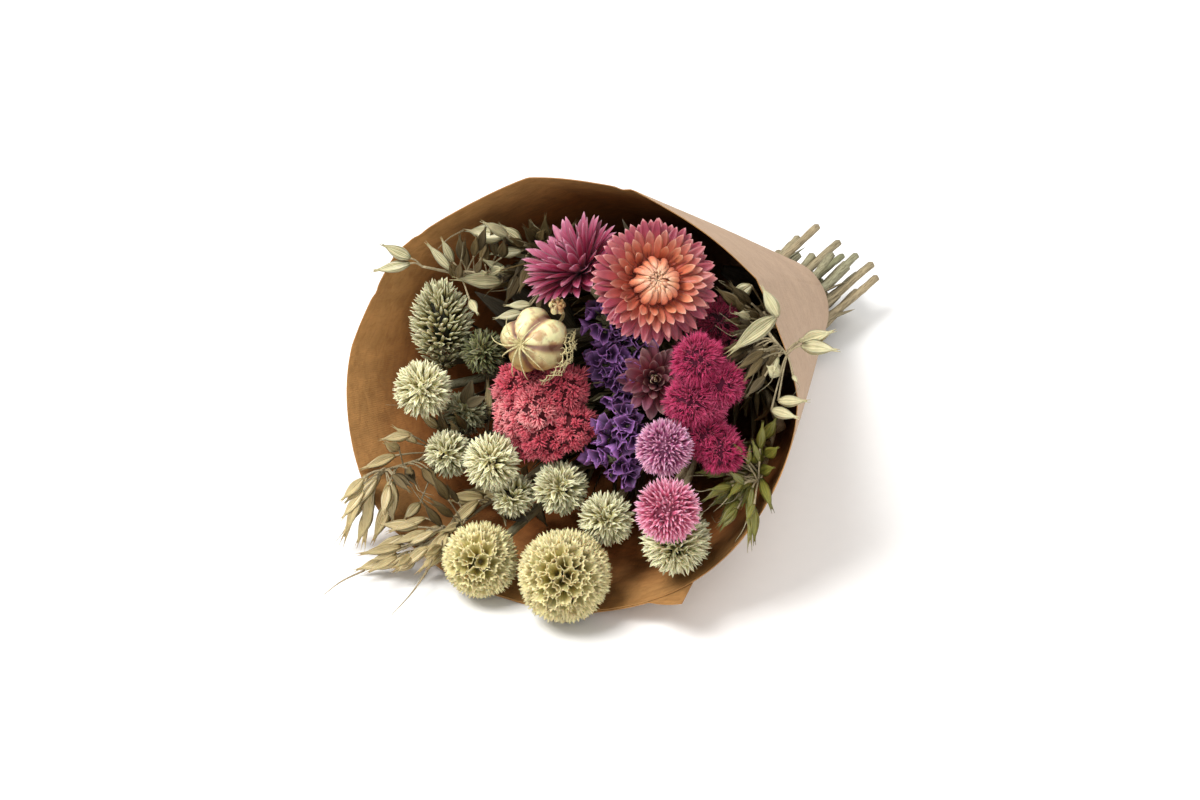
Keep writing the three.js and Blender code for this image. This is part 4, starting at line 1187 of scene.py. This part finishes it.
class MakePod(bpy.types.Operator):
    """Make the nigella seed pod with its horns and thread-like bracts"""

    bl_idname = "bouquet.make_pod"
    bl_label = "Nigella pod"

    def execute(self, context):
        pod = context.scene.bouquet_pod
        radius = pod.radius / MM
        at, facing, _ = POD
        form = Form(at, facing)
        turn = np.arange(80) * TURN / 80
        # The pod's lower side, which the wall's material tints brown as painted shade.
        low = np.clip(0.25 - 1.2 * np.sin(turn + 0.2), 0, 0.9)
        ball(form, (0, 0, 0), radius, 40, 80, low, swell=self.lobes)
        random = np.random.default_rng(2)
        self.add_horns(form, radius, random)
        self.add_bracts(form, radius, random)
        self.add_bud(form)
        materials = [
            pod_wall("nigella_pod_wall", pod.wall, pod.stripe),
            dry_stem("nigella_dry_thread", linear("#A89A68"), linear("#DCD09C")),
        ]
        form.build("nigella_pod", materials, ["nigella_pod"])
        return {"FINISHED"}

    def lobes(self, turn, tilt):
        """Five blown-up lobes with a furrow between each, and a rib down each lobe."""
        belly = np.sin(tilt) ** 0.7
        furrow = (0.5 + 0.5 * np.cos(5 * turn)) ** 1.8
        rib = (0.5 - 0.5 * np.cos(5 * turn)) ** 24
        dimple = 0.14 * np.exp(-(tilt / 0.3) ** 2)
        blown = 0.03 * np.sin(3 * turn + 4 * tilt) + 0.02 * np.sin(8 * turn + 5) * np.sin(6 * tilt)
        return 1.02 - 0.2 * furrow * belly + 0.015 * rib - dimple + blown * belly

    def add_horns(self, form, radius, random):
        """Long thin horns that meet on the pod's top and droop over it."""
        for i in range(11):
            turn = (i + random.uniform(-0.25, 0.25)) * TURN / 11
            out = round_axis(turn)
            droop = random.uniform(-3, 2)
            is_upper = out[0] - out[1] < -0.9 or out[1] > 0.3
            reach = random.uniform(6, 9) if is_upper and i % 2 else random.uniform(10, 14)
            bent = np.array([-out[1], out[0], 0]) * random.normal(0, 2)
            points = [
                (0, 0, radius * 0.82), out * 2.2 + (0, 0, radius + 1.4),
                out * reach * 0.45 + (0, 0, radius + 2.4),
                out * reach * 0.8 + bent * 0.4 + (0, 0, radius + 1 + droop * 0.4),
                out * reach + bent + (0, 0, radius - 1.6 + droop),
            ]
            strand(form, smooth_path(points, 6), [0.8, 0.44, 0.3, 0.2, 0.08], tone=0.6, slot=1)
        ball(form, (0, 0, radius * 0.9), (1.8, 1.8, 1.6), 8, 10, tone=0.6, slot=1)

    def add_bracts(self, form, radius, random):
        """Each bract is a thread with forked side threads, curling up round the pod."""
        top = np.array([0, 0, 1.0])
        for i in range(4):
            turn = -0.9 + i * 0.42 + random.uniform(-0.15, 0.15)
            out = round_axis(turn)
            side = np.array([-out[1], out[0], 0])
            points = [
                -top * (radius + 0.5), out * radius * 0.8 - top * radius * 0.85,
                out * (radius + 2) - top * radius * 0.2,
                out * (radius + 1.8) + top * radius * random.uniform(0.3, 0.6),
            ]
            rib = smooth_path(points, 8)
            strand(form, rib, [0.42, 0.34, 0.14], sides=5, tone=0.8, slot=1)
            for k in range(11, len(rib) - 1, 3):
                for hand in (-1, 1):
                    reach = random.uniform(2, 4.4)
                    curve = [
                        rib[k], rib[k] + side * hand * reach * 0.5 + out * 0.9 + top * 0.4,
                        rib[k] + side * hand * reach * 0.85 + out * 0.5 + top * reach * 0.5,
                        rib[k] + side * hand * reach * 0.8 + top * reach * 0.9,
                    ]
                    branch = smooth_path(curve, 4)
                    strand(form, branch, [0.22, 0.18, 0.08], sides=4, tone=1.0, slot=1)
                    fork = [branch[5], branch[5] + out + side * hand * 1.6 + top * 0.8]
                    strand(form, fork, [0.16, 0.08], sides=4, tone=1.0, slot=1)

    def add_bud(self, form):
        """A small half open seed head beside the pod, on a thin stalk from the pod's stem."""
        form.stand((-5, 31, 13), (0.4, 0.5, 0.75))
        ball(form, (0, 0, 0), (3.2, 3.2, 3), 16, 30, swell=self.lobes)
        turn = np.arange(7) * TURN / 7
        radial = round_axis(turn)
        blades(
            form, radial * 1.6 + (0, 0, 1.6), radial + (0, 0, 1), (0, 0, 1), 3.4, 1.7,
            pointed(0.5), curl=1.2, cup=0.4, slot=0,
        )
        form.stand()
        stalk = smooth_path([(-14.5, 17, -4), (-9, 24, 0), (-6, 29, 8), (-5.5, 30, 11)], 5)
        strand(form, stalk, [0.7, 0.5], slot=1)


# Plush grows from this share of a lobe's radius, where that is outside this share of the others.
PLUSH_ROOTS = 0.84
OTHER_LOBES = 0.82
# The paler patches on a cockscomb: where on its face, how wide and how strong.
PALE_PATCHES = [((3, 1), 24, 1.0), ((-14, -6), 60, 0.6)]


class MakeCockscombs(bpy.types.Operator):
    """Make the red, magenta and dark cockscomb heads"""

    bl_idname = "bouquet.make_cockscombs"
    bl_label = "Cockscombs"

    def execute(self, context):
        comb = context.scene.bouquet_cockscombs
        red = plush(
            "red_cockscomb_plush", linear("#46060F"), comb.red, linear("#D05464"), comb.red_tip,
        )
        magenta = plush(
            "magenta_cockscomb_plush", linear("#4A0424"), comb.magenta, comb.magenta_tip,
            linear("#E07A98"),
        )
        dark = plush(
            "dark_cockscomb_plush", linear("#2E0410"), comb.dark, scaled(comb.dark, 1.5),
            linear("#942A50"),
        )
        plume = comb.plume / MM
        # Real plush is finer than this: its hairs are drawn as coarse as they need to show.
        coarse = dict(plume=plume * 1.35, tuft=4.7, hairs=37, width=0.94, splay=1.0, glow=1.8)
        fine = dict(plume=plume * 1.5, tuft=2.7, hairs=20, width=0.37, splay=0.5, glow=0.35)
        self.make("red_cockscomb", red, "red_plush", coarse)
        self.make("magenta_cockscomb", magenta, "magenta_plush", fine)
        self.make("dark_cockscomb", dark, "dark_plush", fine)
        return {"FINISHED"}

    def make(self, name, material, slot_name, nap):
        at, facing, _, lobes = COCKSCOMBS[name]
        form = Form(at, facing)
        for x, y, z, radius in lobes:
            # The core takes the plush's dark root colour, painted shade that shows in the gaps
            # between the tufts.
            ball(form, (x, y, z), radius * PLUSH_ROOTS, 12, 16, tone=0.0, is_core=True)
        strand(form, [(0, 0, -15), (0, 0, -8), (0, 0, 0)], [2.2, 3.4, 6], sides=12, tone=0.0)
        self.add_plush(form, lobes, np.random.default_rng(len(name)), **nap)
        form.build(name, [material], [name])

    def skin(self, lobes, spacing):
        """Places spread over the outside of the lobes, and which way is out at each."""
        places, outward = [], []
        for i, (x, y, z, radius) in enumerate(lobes):
            directions = over_ball(int(4 * math.pi * radius ** 2 / spacing ** 2))
            points = directions * radius * PLUSH_ROOTS + (x, y, z)
            free = np.ones(len(points), bool)
            for k, (a, b, c, other) in enumerate(lobes):
                if k != i:
                    free &= np.linalg.norm(points - (a, b, c), axis=1) > other * OTHER_LOBES
            places.append(points[free])
            outward.append(directions[free])
        return np.vstack(places), np.vstack(outward)

    def add_plush(self, form, lobes, random, plume, tuft, hairs, width, splay, glow):
        """Tufts that cover the lobes. The hairs of each fan out from one root, and those in its
        middle are the longest. `glow` is how much paler the paler patches are."""
        roots, outward = self.skin(lobes, tuft)
        outward = unit(outward + random.normal(0, 0.16, outward.shape))
        fan = over_ball(hairs, math.cos(splay))
        reach = plume * (1 - 0.3 * (1 - fan[:, 2]) / (1 - math.cos(splay)))
        pale = sum(
            glow * strength * np.exp(-np.sum((roots[:, :2] - place) ** 2, axis=1) / spread)
            for place, spread, strength in PALE_PATCHES
        )
        for root, out, paleness in zip(roots, outward, pale):
            start = root - out * plume * 0.2 + random.normal(0, tuft * 0.1, 3)
            grown = random.uniform(0.8, 1.25)
            tone = random.uniform(0, 0.32) + paleness
            blades(
                form, start + random.normal(0, 0.25, (hairs, 3)),
                fan @ turned_to(out).T + random.normal(0, 0.08, (hairs, 3)),
                random.normal(0, 1, (hairs, 3)),
                reach * grown * random.uniform(0.85, 1.15, hairs),
                width * random.uniform(0.8, 1.2, hairs), pointed(0.6, 0.5, 0.5),
                curl=random.uniform(0, 0.4, hairs), rings=4, thickness=width * 0.5,
                shape=HAIR_ROUND, tone=np.clip(tone + random.normal(0, 0.08, hairs), 0, 1),
            )


class MakeAmaranths(bpy.types.Operator):
    """Make the two globe amaranths, balls of pointed bracts"""

    bl_idname = "bouquet.make_amaranths"
    bl_label = "Globe amaranths"

    def execute(self, context):
        balls = context.scene.bouquet_amaranths
        shades = {
            "mauve_globe_amaranth": (balls.mauve, balls.mauve_tip, "mauve_bracts"),
            "pink_globe_amaranth": (balls.pink, balls.pink_tip, "pink_bracts"),
        }
        for name, (at, facing, base, radius) in AMARANTHS.items():
            body, tip, slot_name = shades[name]
            stops = [(0.0, scaled(body, 0.45)), (0.5, body), (0.85, tip), (1.0, scaled(tip, 1.15))]
            material = dry_bract(f"{name}_bract", stops, stops, 0.5)
            form = Form(at, facing)
            random = np.random.default_rng(len(name))
            self.add_ball(form, radius, balls.bracts, random)
            strand(form, [(0, 0, -base), (0, 0, -radius * 0.6)], [1.9, 3.4], sides=10)
            form.build(name, [material], [name])
        return {"FINISHED"}

    def add_ball(self, form, radius, count, random):
        ball(form, (0, 0, 0), radius * 0.66, is_core=True)
        out = over_ball(count)
        ahead = unit(out + (0, 0, 0.12) + random.normal(0, 0.17, (count, 3)))
        length = radius * 0.5 * random.uniform(0.8, 1.2, count)
        root = out * radius * random.uniform(0.96, 1.08, count)[:, None] - ahead * length[:, None]
        blades(
            form, root, ahead, out * (1, 1, 0) + random.normal(0, 0.4, (count, 3)), length,
            random.uniform(1.0, 1.6, count), pointed(0.4, 0.7, 0.9),
            curl=random.normal(0, 0.2, count), cup=-0.6, rings=6,
        )


class MakeCanaryGrass(bpy.types.Operator):
    """Make the heads of canary grass, packed with keeled husks, on their stems"""

    bl_idname = "bouquet.make_canary_grass"
    bl_label = "Canary grass"

    def execute(self, context):
        grass = context.scene.bouquet_canary_grass
        stems = context.scene.bouquet_stems
        husks = grass_husk("canary_grass_husk", grass.cream, grass.keel, grass.shade)
        materials = [husks, *stem_and_leaf("canary_grass", stems)]
        for name, (at, facing, half_width, half_length, bright) in CANARY_HEADS.items():
            form = Form(at, facing)
            random = seeded(name)
            self.add_head(form, half_width, half_length, bright, grass.husk / MM, random)
            base = half_length * 0.6
            add_stem(form, name, at, facing, base, stems.radius / MM, slot=1, leaves=26)
            form.build(name, materials, [name])
        return {"FINISHED"}

    def add_head(self, form, half_width, half_length, bright, husk, random):
        """Keeled husks packed round the head. On a long head they point up it, and on a round
        one they spread from its top."""
        core = (half_width * 0.5, half_width * 0.5, half_length * 0.6)
        ball(form, (0, 0, 0), core, tone=0.0, is_core=True)
        count = int(2.4 * half_width ** 2)
        out = over_ball(count, -0.93)
        skin = out * (half_width, half_width, half_length)
        is_long = half_length > 1.3 * half_width
        leaning = out + np.outer(1 - out[:, 2], (0, 0, 0.75)) if is_long else out * (1, 1, 0.55)
        ahead = unit(leaning + random.normal(0, 0.12, (count, 3)))
        length = husk * half_width / 10 * random.uniform(0.85, 1.15, count)
        reach = random.uniform(0.94, 1.08, count)
        blades(
            form, skin * reach[:, None] - ahead * length[:, None], ahead,
            out * (1, 1, 0) + random.normal(0, 0.35, (count, 3)), length,
            husk * 0.29 * random.uniform(0.8, 1.2, count), pointed(0.55, 0.6, 0.7),
            curl=random.normal(-0.1, 0.15, count), cup=-0.9, rings=7,
            tone=np.clip(bright + random.normal(0, 0.12, count), 0, 1),
        )


class MakeCupHeads(bpy.types.Operator):
    """Make the two round seed heads of toothed papery cups, on their stems"""

    bl_idname = "bouquet.make_cup_heads"
    bl_label = "Cup seed heads"

    def execute(self, context):
        cups = context.scene.bouquet_cup_heads
        stems = context.scene.bouquet_stems
        paper = papery_cup("seed_cup", linear("#8C7A3A"), cups.inside, cups.rim)
        materials = [paper, *stem_and_leaf("cup_head", stems)]
        for name, (at, facing, radius) in CUP_HEADS.items():
            form = Form(at, facing)
            self.add_head(form, radius, cups.pitch / MM, np.random.default_rng(int(radius)))
            add_stem(form, name, at, facing, radius * 0.5, stems.radius / MM, slot=1, leaves=26)
            form.build(name, materials, [name])
        return {"FINISHED"}

    def add_head(self, form, radius, pitch, random):
        ball(form, (0, 0, 0), radius * 0.5, tone=0.1, is_core=True)
        for out in over_ball(int(4 * math.pi * radius ** 2 / (0.866 * pitch ** 2)), -0.96):
            spread = 0.1 + 0.5 * (1 - out[2])
            lean = unit(out + out * (spread, spread, 0) + random.normal(0, 0.05, 3))
            start = out * radius * (0.32, 0.32, 0.4)
            depth = radius * random.uniform(0.54, 0.62) + (1 - out[2]) * radius * 0.04
            add_cup(
                form, start, lean, depth,
                [(0, 0.7), (0.4, 1.1), (0.72, pitch * 0.32), (1, pitch * 0.6)], random,
                lobes=6, lobe=0.1, ribs=11, rib=0.08, tooth=min(0.9 + 1.2 * (1 - out[2]), 2.2),
                wobble=0.05, tone=random.uniform(0.1, 0.9),
            )


def add_cup(form, base, ahead, depth, profile, random, *, lobes, lobe, ribs, rib, tooth,
            wobble=0.0, tone=0.5, slot=0):
    """A thin papery cup: its wall goes up outside, turns at a toothed rim and comes down
    inside. The profile gives its radius at each share of its depth."""
    heights, radii = zip(*profile)
    ahead = unit(ahead)
    side = unit(np.cross(ahead, random.normal(0, 1, 3)))
    other = np.cross(ahead, side)
    turn = np.arange(3 * ribs) * TURN / (3 * ribs)
    pleats = np.cos(ribs * turn)
    uneven = wobble * np.cos(2 * turn + random.uniform(0, 6))
    up = np.array([0.0, 0.3, 0.6, 0.82, 0.94, 1.0, 1.0, 0.94, 0.82, 0.6, 0.3, 0.12])[:, None]
    within = (np.arange(len(up)) >= len(up) / 2)[:, None]
    wave = up ** 2 * (lobe * np.cos(lobes * turn) + rib * pleats + uneven)
    reach = np.maximum(np.interp(up, heights, radii) * (1 + wave) - 0.16 * within, 0.1)
    toothed = tooth * (up > 0.97) * (0.5 + 0.5 * pleats)
    rise = up * depth * (1 + uneven * 0.5) + toothed
    places = (
        np.asarray(base, float)
        + side * (reach * np.cos(turn))[..., None]
        + other * (reach * np.sin(turn))[..., None]
        + ahead * rise[..., None]
    )
    along = np.broadcast_to(up * (1 - 0.25 * within), reach.shape)
    across = np.broadcast_to(pleats, reach.shape)
    form.add(places, tube_faces(1, len(up), 3 * ribs), along, across, tone, slot)


class MakeStatice(bpy.types.Operator):
    """Make the two sprays of purple statice"""

    bl_idname = "bouquet.make_statice"
    bl_label = "Statice"

    def execute(self, context):
        statice = context.scene.bouquet_statice
        stems = context.scene.bouquet_stems
        paper = papery_cup("statice_cup", linear("#180A22"), statice.base, statice.rim, 0.6, 0.4)
        stalks = dry_stem("statice_branch", statice.wing, scaled(statice.wing, 1.4))
        leaf = dry_leaf("statice_leaf", stems.leaf)
        for name, (fork, clusters) in STATICE.items():
            form = Form()
            random = np.random.default_rng(len(name) + len(clusters))
            for cluster in clusters:
                self.add_cluster(form, np.array(fork), np.array(cluster), statice.cups, random)
            radius = stems.radius / MM * 0.9
            add_stem(form, name, fork, (0, 0, 1), 0, radius, slot=1, leaves=26)
            form.build(name, [paper, stalks, leaf], [name])
        return {"FINISHED"}

    def add_cluster(self, form, fork, cluster, cups, random):
        outward = unit(cluster - fork)
        hub = cluster - outward * 6
        strand(form, [fork, (fork + hub) / 2 + (0.6, 0.4, 0), hub], [0.9, 0.8, 0.7], slot=1)
        for i in range(cups):
            turn = i * TURN * GOLDEN_SHARE
            spread = math.sqrt((i + 0.5) / cups)
            splay = round_axis(turn) * spread
            way = unit(splay * 1.1 + np.array(TOWARDS_VIEWER) * 0.8 + random.normal(0, 0.4, 3))
            base = hub + splay * 4.6 + way * 1.2 + random.normal(0, 0.8, 3)
            grown = random.uniform(0.55, 1.15)
            strand(form, [hub, base], [0.5, 0.6], sides=5, slot=1)
            add_cup(
                form, base, way, 6.2 * grown, [(0, 0.5), (0.35, 0.9), (0.65, 2), (1, 3.1 * grown)],
                random, lobes=5, lobe=0.13, ribs=10, rib=0.07, tooth=0.35, wobble=0.22,
                tone=random.uniform(0, 1),
            )
            sides = unit(random.normal(0, 1, (3, 3)))
            blades(
                form, np.repeat([base], 3, axis=0), way + sides * 0.5, sides, 3.6, 1.3,
                pointed(0.4), curl=0.2, slot=1, tone=0.3,
            )


# How often a place for a spikelet is sought, among all that hang from one joint.
MOST_TRIES = 600


class MakeOats(bpy.types.Operator):
    """Make the six sprays of oats with their striped husks and awns"""

    bl_idname = "bouquet.make_oats"
    bl_label = "Oats"

    def execute(self, context):
        oats = context.scene.bouquet_oats
        stems = context.scene.bouquet_stems
        stalks = dry_stem("oat_stalk", stems.green, stems.tan)
        # This leaf material also draws the dark spikelets, whose darkness is partly painted shade.
        leaf = dry_leaf("oat_leaf", oats.brown)
        pale = oat_husk("oat_husk", oats.straw, oats.vein, linear("#B9A46C"))
        green = oat_husk("green_oat_husk", oats.green, linear("#57581E"), linear("#6A5A2A"))
        golden = oat_husk("golden_oat_husk", oats.golden, linear("#9C8858"), linear("#AE9460"))
        coats = {
            "oats_right_green": (green, "green_oat_husks"),
            "oats_lower_left": (golden, "oat_husks"),
            "oats_bottom_left": (golden, "oat_husks"),
        }
        for name, (joints, spikelets, awns) in OATS.items():
            material, slot_name = coats.get(name, (pale, "oat_husks"))
            form = Form()
            random = seeded(name)
            strand(form, smooth_path(joints, 8), [1.05, 0.5], tone=0.6, slot=1)
            for joint, root, tip, width in spikelets:
                self.add_spikelet(form, joints[joint], root, tip, width, random)
            for joint, *rest in MORE_OATS[name]:
                self.add_more(form, joints[joint - 1:joint + 1], *rest, random)
            for awn in awns:
                strand(form, smooth_path(awn, 6), [0.45, 0.3, 0.12], sides=5, tone=0.9, slot=1)
            radius = stems.radius / MM
            add_stem(form, name, joints[0], (0, 0, 1), 0, radius, slot=1, leaves=32)
            form.build(name, [material, stalks, leaf], [name])
        return {"FINISHED"}

    def add_more(self, form, stretch, count, lean, longest, is_shade_darkened, random):
        """Hangs this many spikelets along a stretch of the stalk, clear of the paper. The dark
        ones, whose darkness is painted shade, stay inside the cone, in the bunch's shadow."""
        lower, upper = np.array(stretch, float)
        for _ in range(MOST_TRIES):
            if not count:
                return
            joint = lower + (upper - lower) * random.uniform(0.35, 1.1)
            way = unit(np.array(lean) + random.normal(0, 0.42, 3))
            root = joint + way * random.uniform(3, 13) + random.normal(0, 2.5, 3)
            length = random.uniform(0.65, 1) * longest
            tip = root + unit(way + np.array(lean) * 0.5) * length
            widest = 0.85 if is_shade_darkened else 2
            is_kept = np.hypot(tip[0] / MOUTH_HALF_WIDTH, tip[1] / MOUTH_HALF_HEIGHT) < widest
            if is_kept and is_clear([root, (root + tip) / 2, tip + way]) and self.is_in_reach(tip):
                width = length * random.uniform(0.21, 0.29)
                self.add_spikelet(form, joint, root, tip, width, random, 2 if is_shade_darkened else 0)
                if random.random() < 0.3:
                    self.add_awn(form, tip, unit(tip - root), random)
                count -= 1

    def add_awn(self, form, tip, ahead, random):
        """The thin bristle that bends away from a husk's tip."""
        bend = random.normal(0, 0.3, 3)
        awn = [tip - ahead, tip + ahead * 3.5, tip + (ahead + bend) * random.uniform(7, 11)]
        if self.is_in_reach(awn[-1]) and is_clear(awn):
            strand(form, smooth_path(awn, 4), [0.22, 0.14, 0.05], sides=4, tone=0.4, slot=1)

    def is_in_reach(self, tip):
        """Whether a tip stays within the object's own size."""
        low, high = (np.array(corner) / MM for corner in CAD_BOUNDS)
        place = to_object(tip)
        return bool(np.all(place > low - 1) and np.all(place < high + 1))

    def add_spikelet(self, form, joint, root, tip, width, random, slot=0):
        """Two husks that part a little at their tips, a floret between them, on a thin stalk."""
        joint, root, tip = (np.array(point, float) for point in (joint, root, tip))
        ahead = unit(tip - root)
        length = np.linalg.norm(tip - root)
        viewer = np.array(TOWARDS_VIEWER)
        side = unit(np.cross(ahead, viewer))
        front = np.cross(side, ahead)
        middle = (joint + root) / 2 + (0, 0.8, 0.4)
        strand(form, smooth_path([joint, middle, root], 5), [0.38, 0.3, 0.42], tone=0.7, slot=1)
        tone = random.uniform(0, 0.8)
        for hand in (-1, 1):
            blades(
                form, root, ahead + side * hand * 0.05, front * 0.75 + side * hand * 0.66,
                length * random.uniform(0.97, 1.03), width * random.uniform(0.8, 0.95),
                pointed(0.34, 0.3, 1.45), curl=-0.06, cup=-0.9, rings=14, tone=tone, slot=slot,
            )
        blades(
            form, root + ahead * 1.2, ahead, front, length * 0.72, width * 0.62,
            pointed(0.4, 0.3, 1.3), cup=-0.8, rings=12, tone=min(1.0, tone + 0.4), slot=slot,
        )
        blades(
            form, root + ahead * 0.6 - front * 0.4, ahead, -front, length * 0.86, width * 0.8,
            pointed(0.4, 0.3, 1.3), cup=-0.8, rings=12, tone=tone, slot=slot,
        )


class MakeStems(bpy.types.Operator):
    """Make the stems of the blooms and the twine that ties the bunch"""

    bl_idname = "bouquet.make_stems"
    bl_label = "Stems and tie"

    def execute(self, context):
        stems = context.scene.bouquet_stems
        materials = stem_and_leaf("dried", stems)
        blooms = {**STRAWFLOWERS, "nigella_pod": POD, **COCKSCOMBS, **AMARANTHS}
        for name, (at, facing, base, *_) in blooms.items():
            form = Form()
            node = f"{name}_stem"
            add_stem(form, node, at, facing, base, stems.radius / MM, leaves=16)
            form.build(node, materials, [node])
        self.make_tie(jute_twine("jute_twine", stems.twine))
        return {"FINISHED"}

    def make_tie(self, material):
        """Three turns of two-ply twine, knotted, with two short ends."""
        low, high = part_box("stem_tie")
        # Each ply goes once round the other in a length of TURN * lay.
        turns, steps, ply, lay = 3, 72, 0.34, 2.4
        # The twine's middle lies a little inside the solid ring's outside.
        radius = (high.x - low.x) / 2 / MM - 0.55
        turn = np.linspace(0, TURN * turns, turns * steps)
        rise = np.linspace(-1.1, 1.1, len(turn))
        radial = round_axis(turn)
        centre = radial * radius + np.outer(rise - TIE_DEPTH, (0, 0, 1))
        twist = turn * radius / lay
        form = Form()
        for start in (0, math.pi):
            offset = radial * np.cos(twist + start)[:, None] * ply
            offset[:, 2] += np.sin(twist + start) * ply
            strand(form, centre + offset, [0.42, 0.42], sides=6)
        for hand in (-1, 1):
            end = [
                (radius, 0, -TIE_DEPTH), (radius + 0.7, 1.6 * hand, -TIE_DEPTH - 1.5),
                (radius + 0.2, 4 * hand, -TIE_DEPTH - 5), (radius - 0.4, 5 * hand, -TIE_DEPTH - 9),
            ]
            strand(form, smooth_path(end, 8), [0.7, 0.6, 0.55], sides=8)
        ball(form, (radius + 0.2, 0, -TIE_DEPTH), (0.9, 1.5, 1.4), 10, 14)
        form.build("stem_tie_twine", [material], ["stem_tie"])


class MakeStage(bpy.types.Operator):
    """Set the pale floor, the soft lights and the camera"""

    bl_idname = "bouquet.make_stage"
    bl_label = "Stage"

    def execute(self, context):
        stage = context.scene.bouquet_stage
        bpy.ops.mesh.primitive_plane_add(size=30, location=(0, 0, -0.0003))
        floor = context.object
        floor.name = "floor"
        floor.data.materials.append(painted_floor("matte_painted_floor", stage.floor))
        # Each light: its place and width in metres, and its power in watts.
        self.light("key_light", (-0.45, -0.8, 1.5), 0.8, 32)
        self.light("fill_light", (0.9, -1.0, 0.9), 1.4, 5)
        self.light("back_light", (0.4, 1.1, 1.2), 1.2, 10)
        world = bpy.data.worlds.new("soft_room")
        context.scene.world = world
        world.use_nodes = True
        world.node_tree.nodes["Background"].inputs["Color"].default_value = WHITE
        world.node_tree.nodes["Background"].inputs["Strength"].default_value = 0.52
        context.scene.view_settings.view_transform = "Standard"
        self.place_camera(context, stage)
        return {"FINISHED"}

    def light(self, name, place, width, power):
        lamp = bpy.data.lights.new(name, "AREA")
        lamp.size = width
        lamp.energy = power
        holder = bpy.data.objects.new(name, lamp)
        bpy.context.scene.collection.objects.link(holder)
        holder.location = place
        holder.rotation_euler = (-Vector(place)).to_track_quat("-Z", "Y").to_euler()

    def place_camera(self, context, stage):
        a, e = stage.azimuth, stage.elevation
        back = Vector((math.sin(a) * math.cos(e), -math.cos(a) * math.cos(e), math.sin(e)))
        right = Vector((math.cos(a), math.sin(a), 0))
        up = back.cross(right)
        # The photograph's middle lies this far right of the mouth's and below it.
        rightwards, downwards = 9.85, 6.4
        aim = Vector(MOUTH) * MM + right * rightwards * MM - up * downwards * MM
        lens = bpy.data.cameras.new("camera")
        lens.lens = stage.lens
        lens.sensor_width = 36
        lens.clip_start = 0.02
        camera = bpy.data.objects.new("camera", lens)
        context.scene.collection.objects.link(camera)
        camera.rotation_mode = "QUATERNION"
        camera.location = aim + back * stage.distance
        camera.rotation_quaternion = (-back).to_track_quat("-Z", "Y")
        context.scene.camera = camera


class BouquetPanel(bpy.types.Panel):
    """Lists what makes up the bouquet"""

    bl_idname = "VIEW3D_PT_bouquet"
    bl_label = "Dried flower bouquet"
    bl_space_type = "VIEW_3D"
    bl_region_type = "UI"
    bl_category = "Bouquet"

    def draw(self, context):
        for name, settings, operator in STEPS:
            box = self.layout.box()
            box.operator(operator.bl_idname)
            for value in settings.__annotations__:
                box.prop(getattr(context.scene, name), value)


# In the order of making: the scene's name for the settings, the settings and the operator.
STEPS = [
    ("bouquet_stage", StageSettings, MakeStage),
    ("bouquet_paper", PaperSettings, MakePaper),
    ("bouquet_strawflowers", StrawflowerSettings, MakeStrawflowers),
    ("bouquet_pod", PodSettings, MakePod),
    ("bouquet_cockscombs", CockscombSettings, MakeCockscombs),
    ("bouquet_amaranths", AmaranthSettings, MakeAmaranths),
    ("bouquet_canary_grass", CanarySettings, MakeCanaryGrass),
    ("bouquet_cup_heads", CupHeadSettings, MakeCupHeads),
    ("bouquet_statice", StaticeSettings, MakeStatice),
    ("bouquet_oats", OatSettings, MakeOats),
    ("bouquet_stems", StemSettings, MakeStems),
]


def register():
    for name, settings, operator in STEPS:
        bpy.utils.register_class(settings)
        setattr(bpy.types.Scene, name, PointerProperty(type=settings))
        bpy.utils.register_class(operator)
    bpy.utils.register_class(BouquetPanel)


def unregister():
    bpy.utils.unregister_class(BouquetPanel)
    for name, settings, operator in reversed(STEPS):
        bpy.utils.unregister_class(operator)
        delattr(bpy.types.Scene, name)
        bpy.utils.unregister_class(settings)


def main():
    register()
    for *_, operator in STEPS:
        family, name = operator.bl_idname.split(".")
        getattr(getattr(bpy.ops, family), name)()


if __name__ == "__main__":
    main()
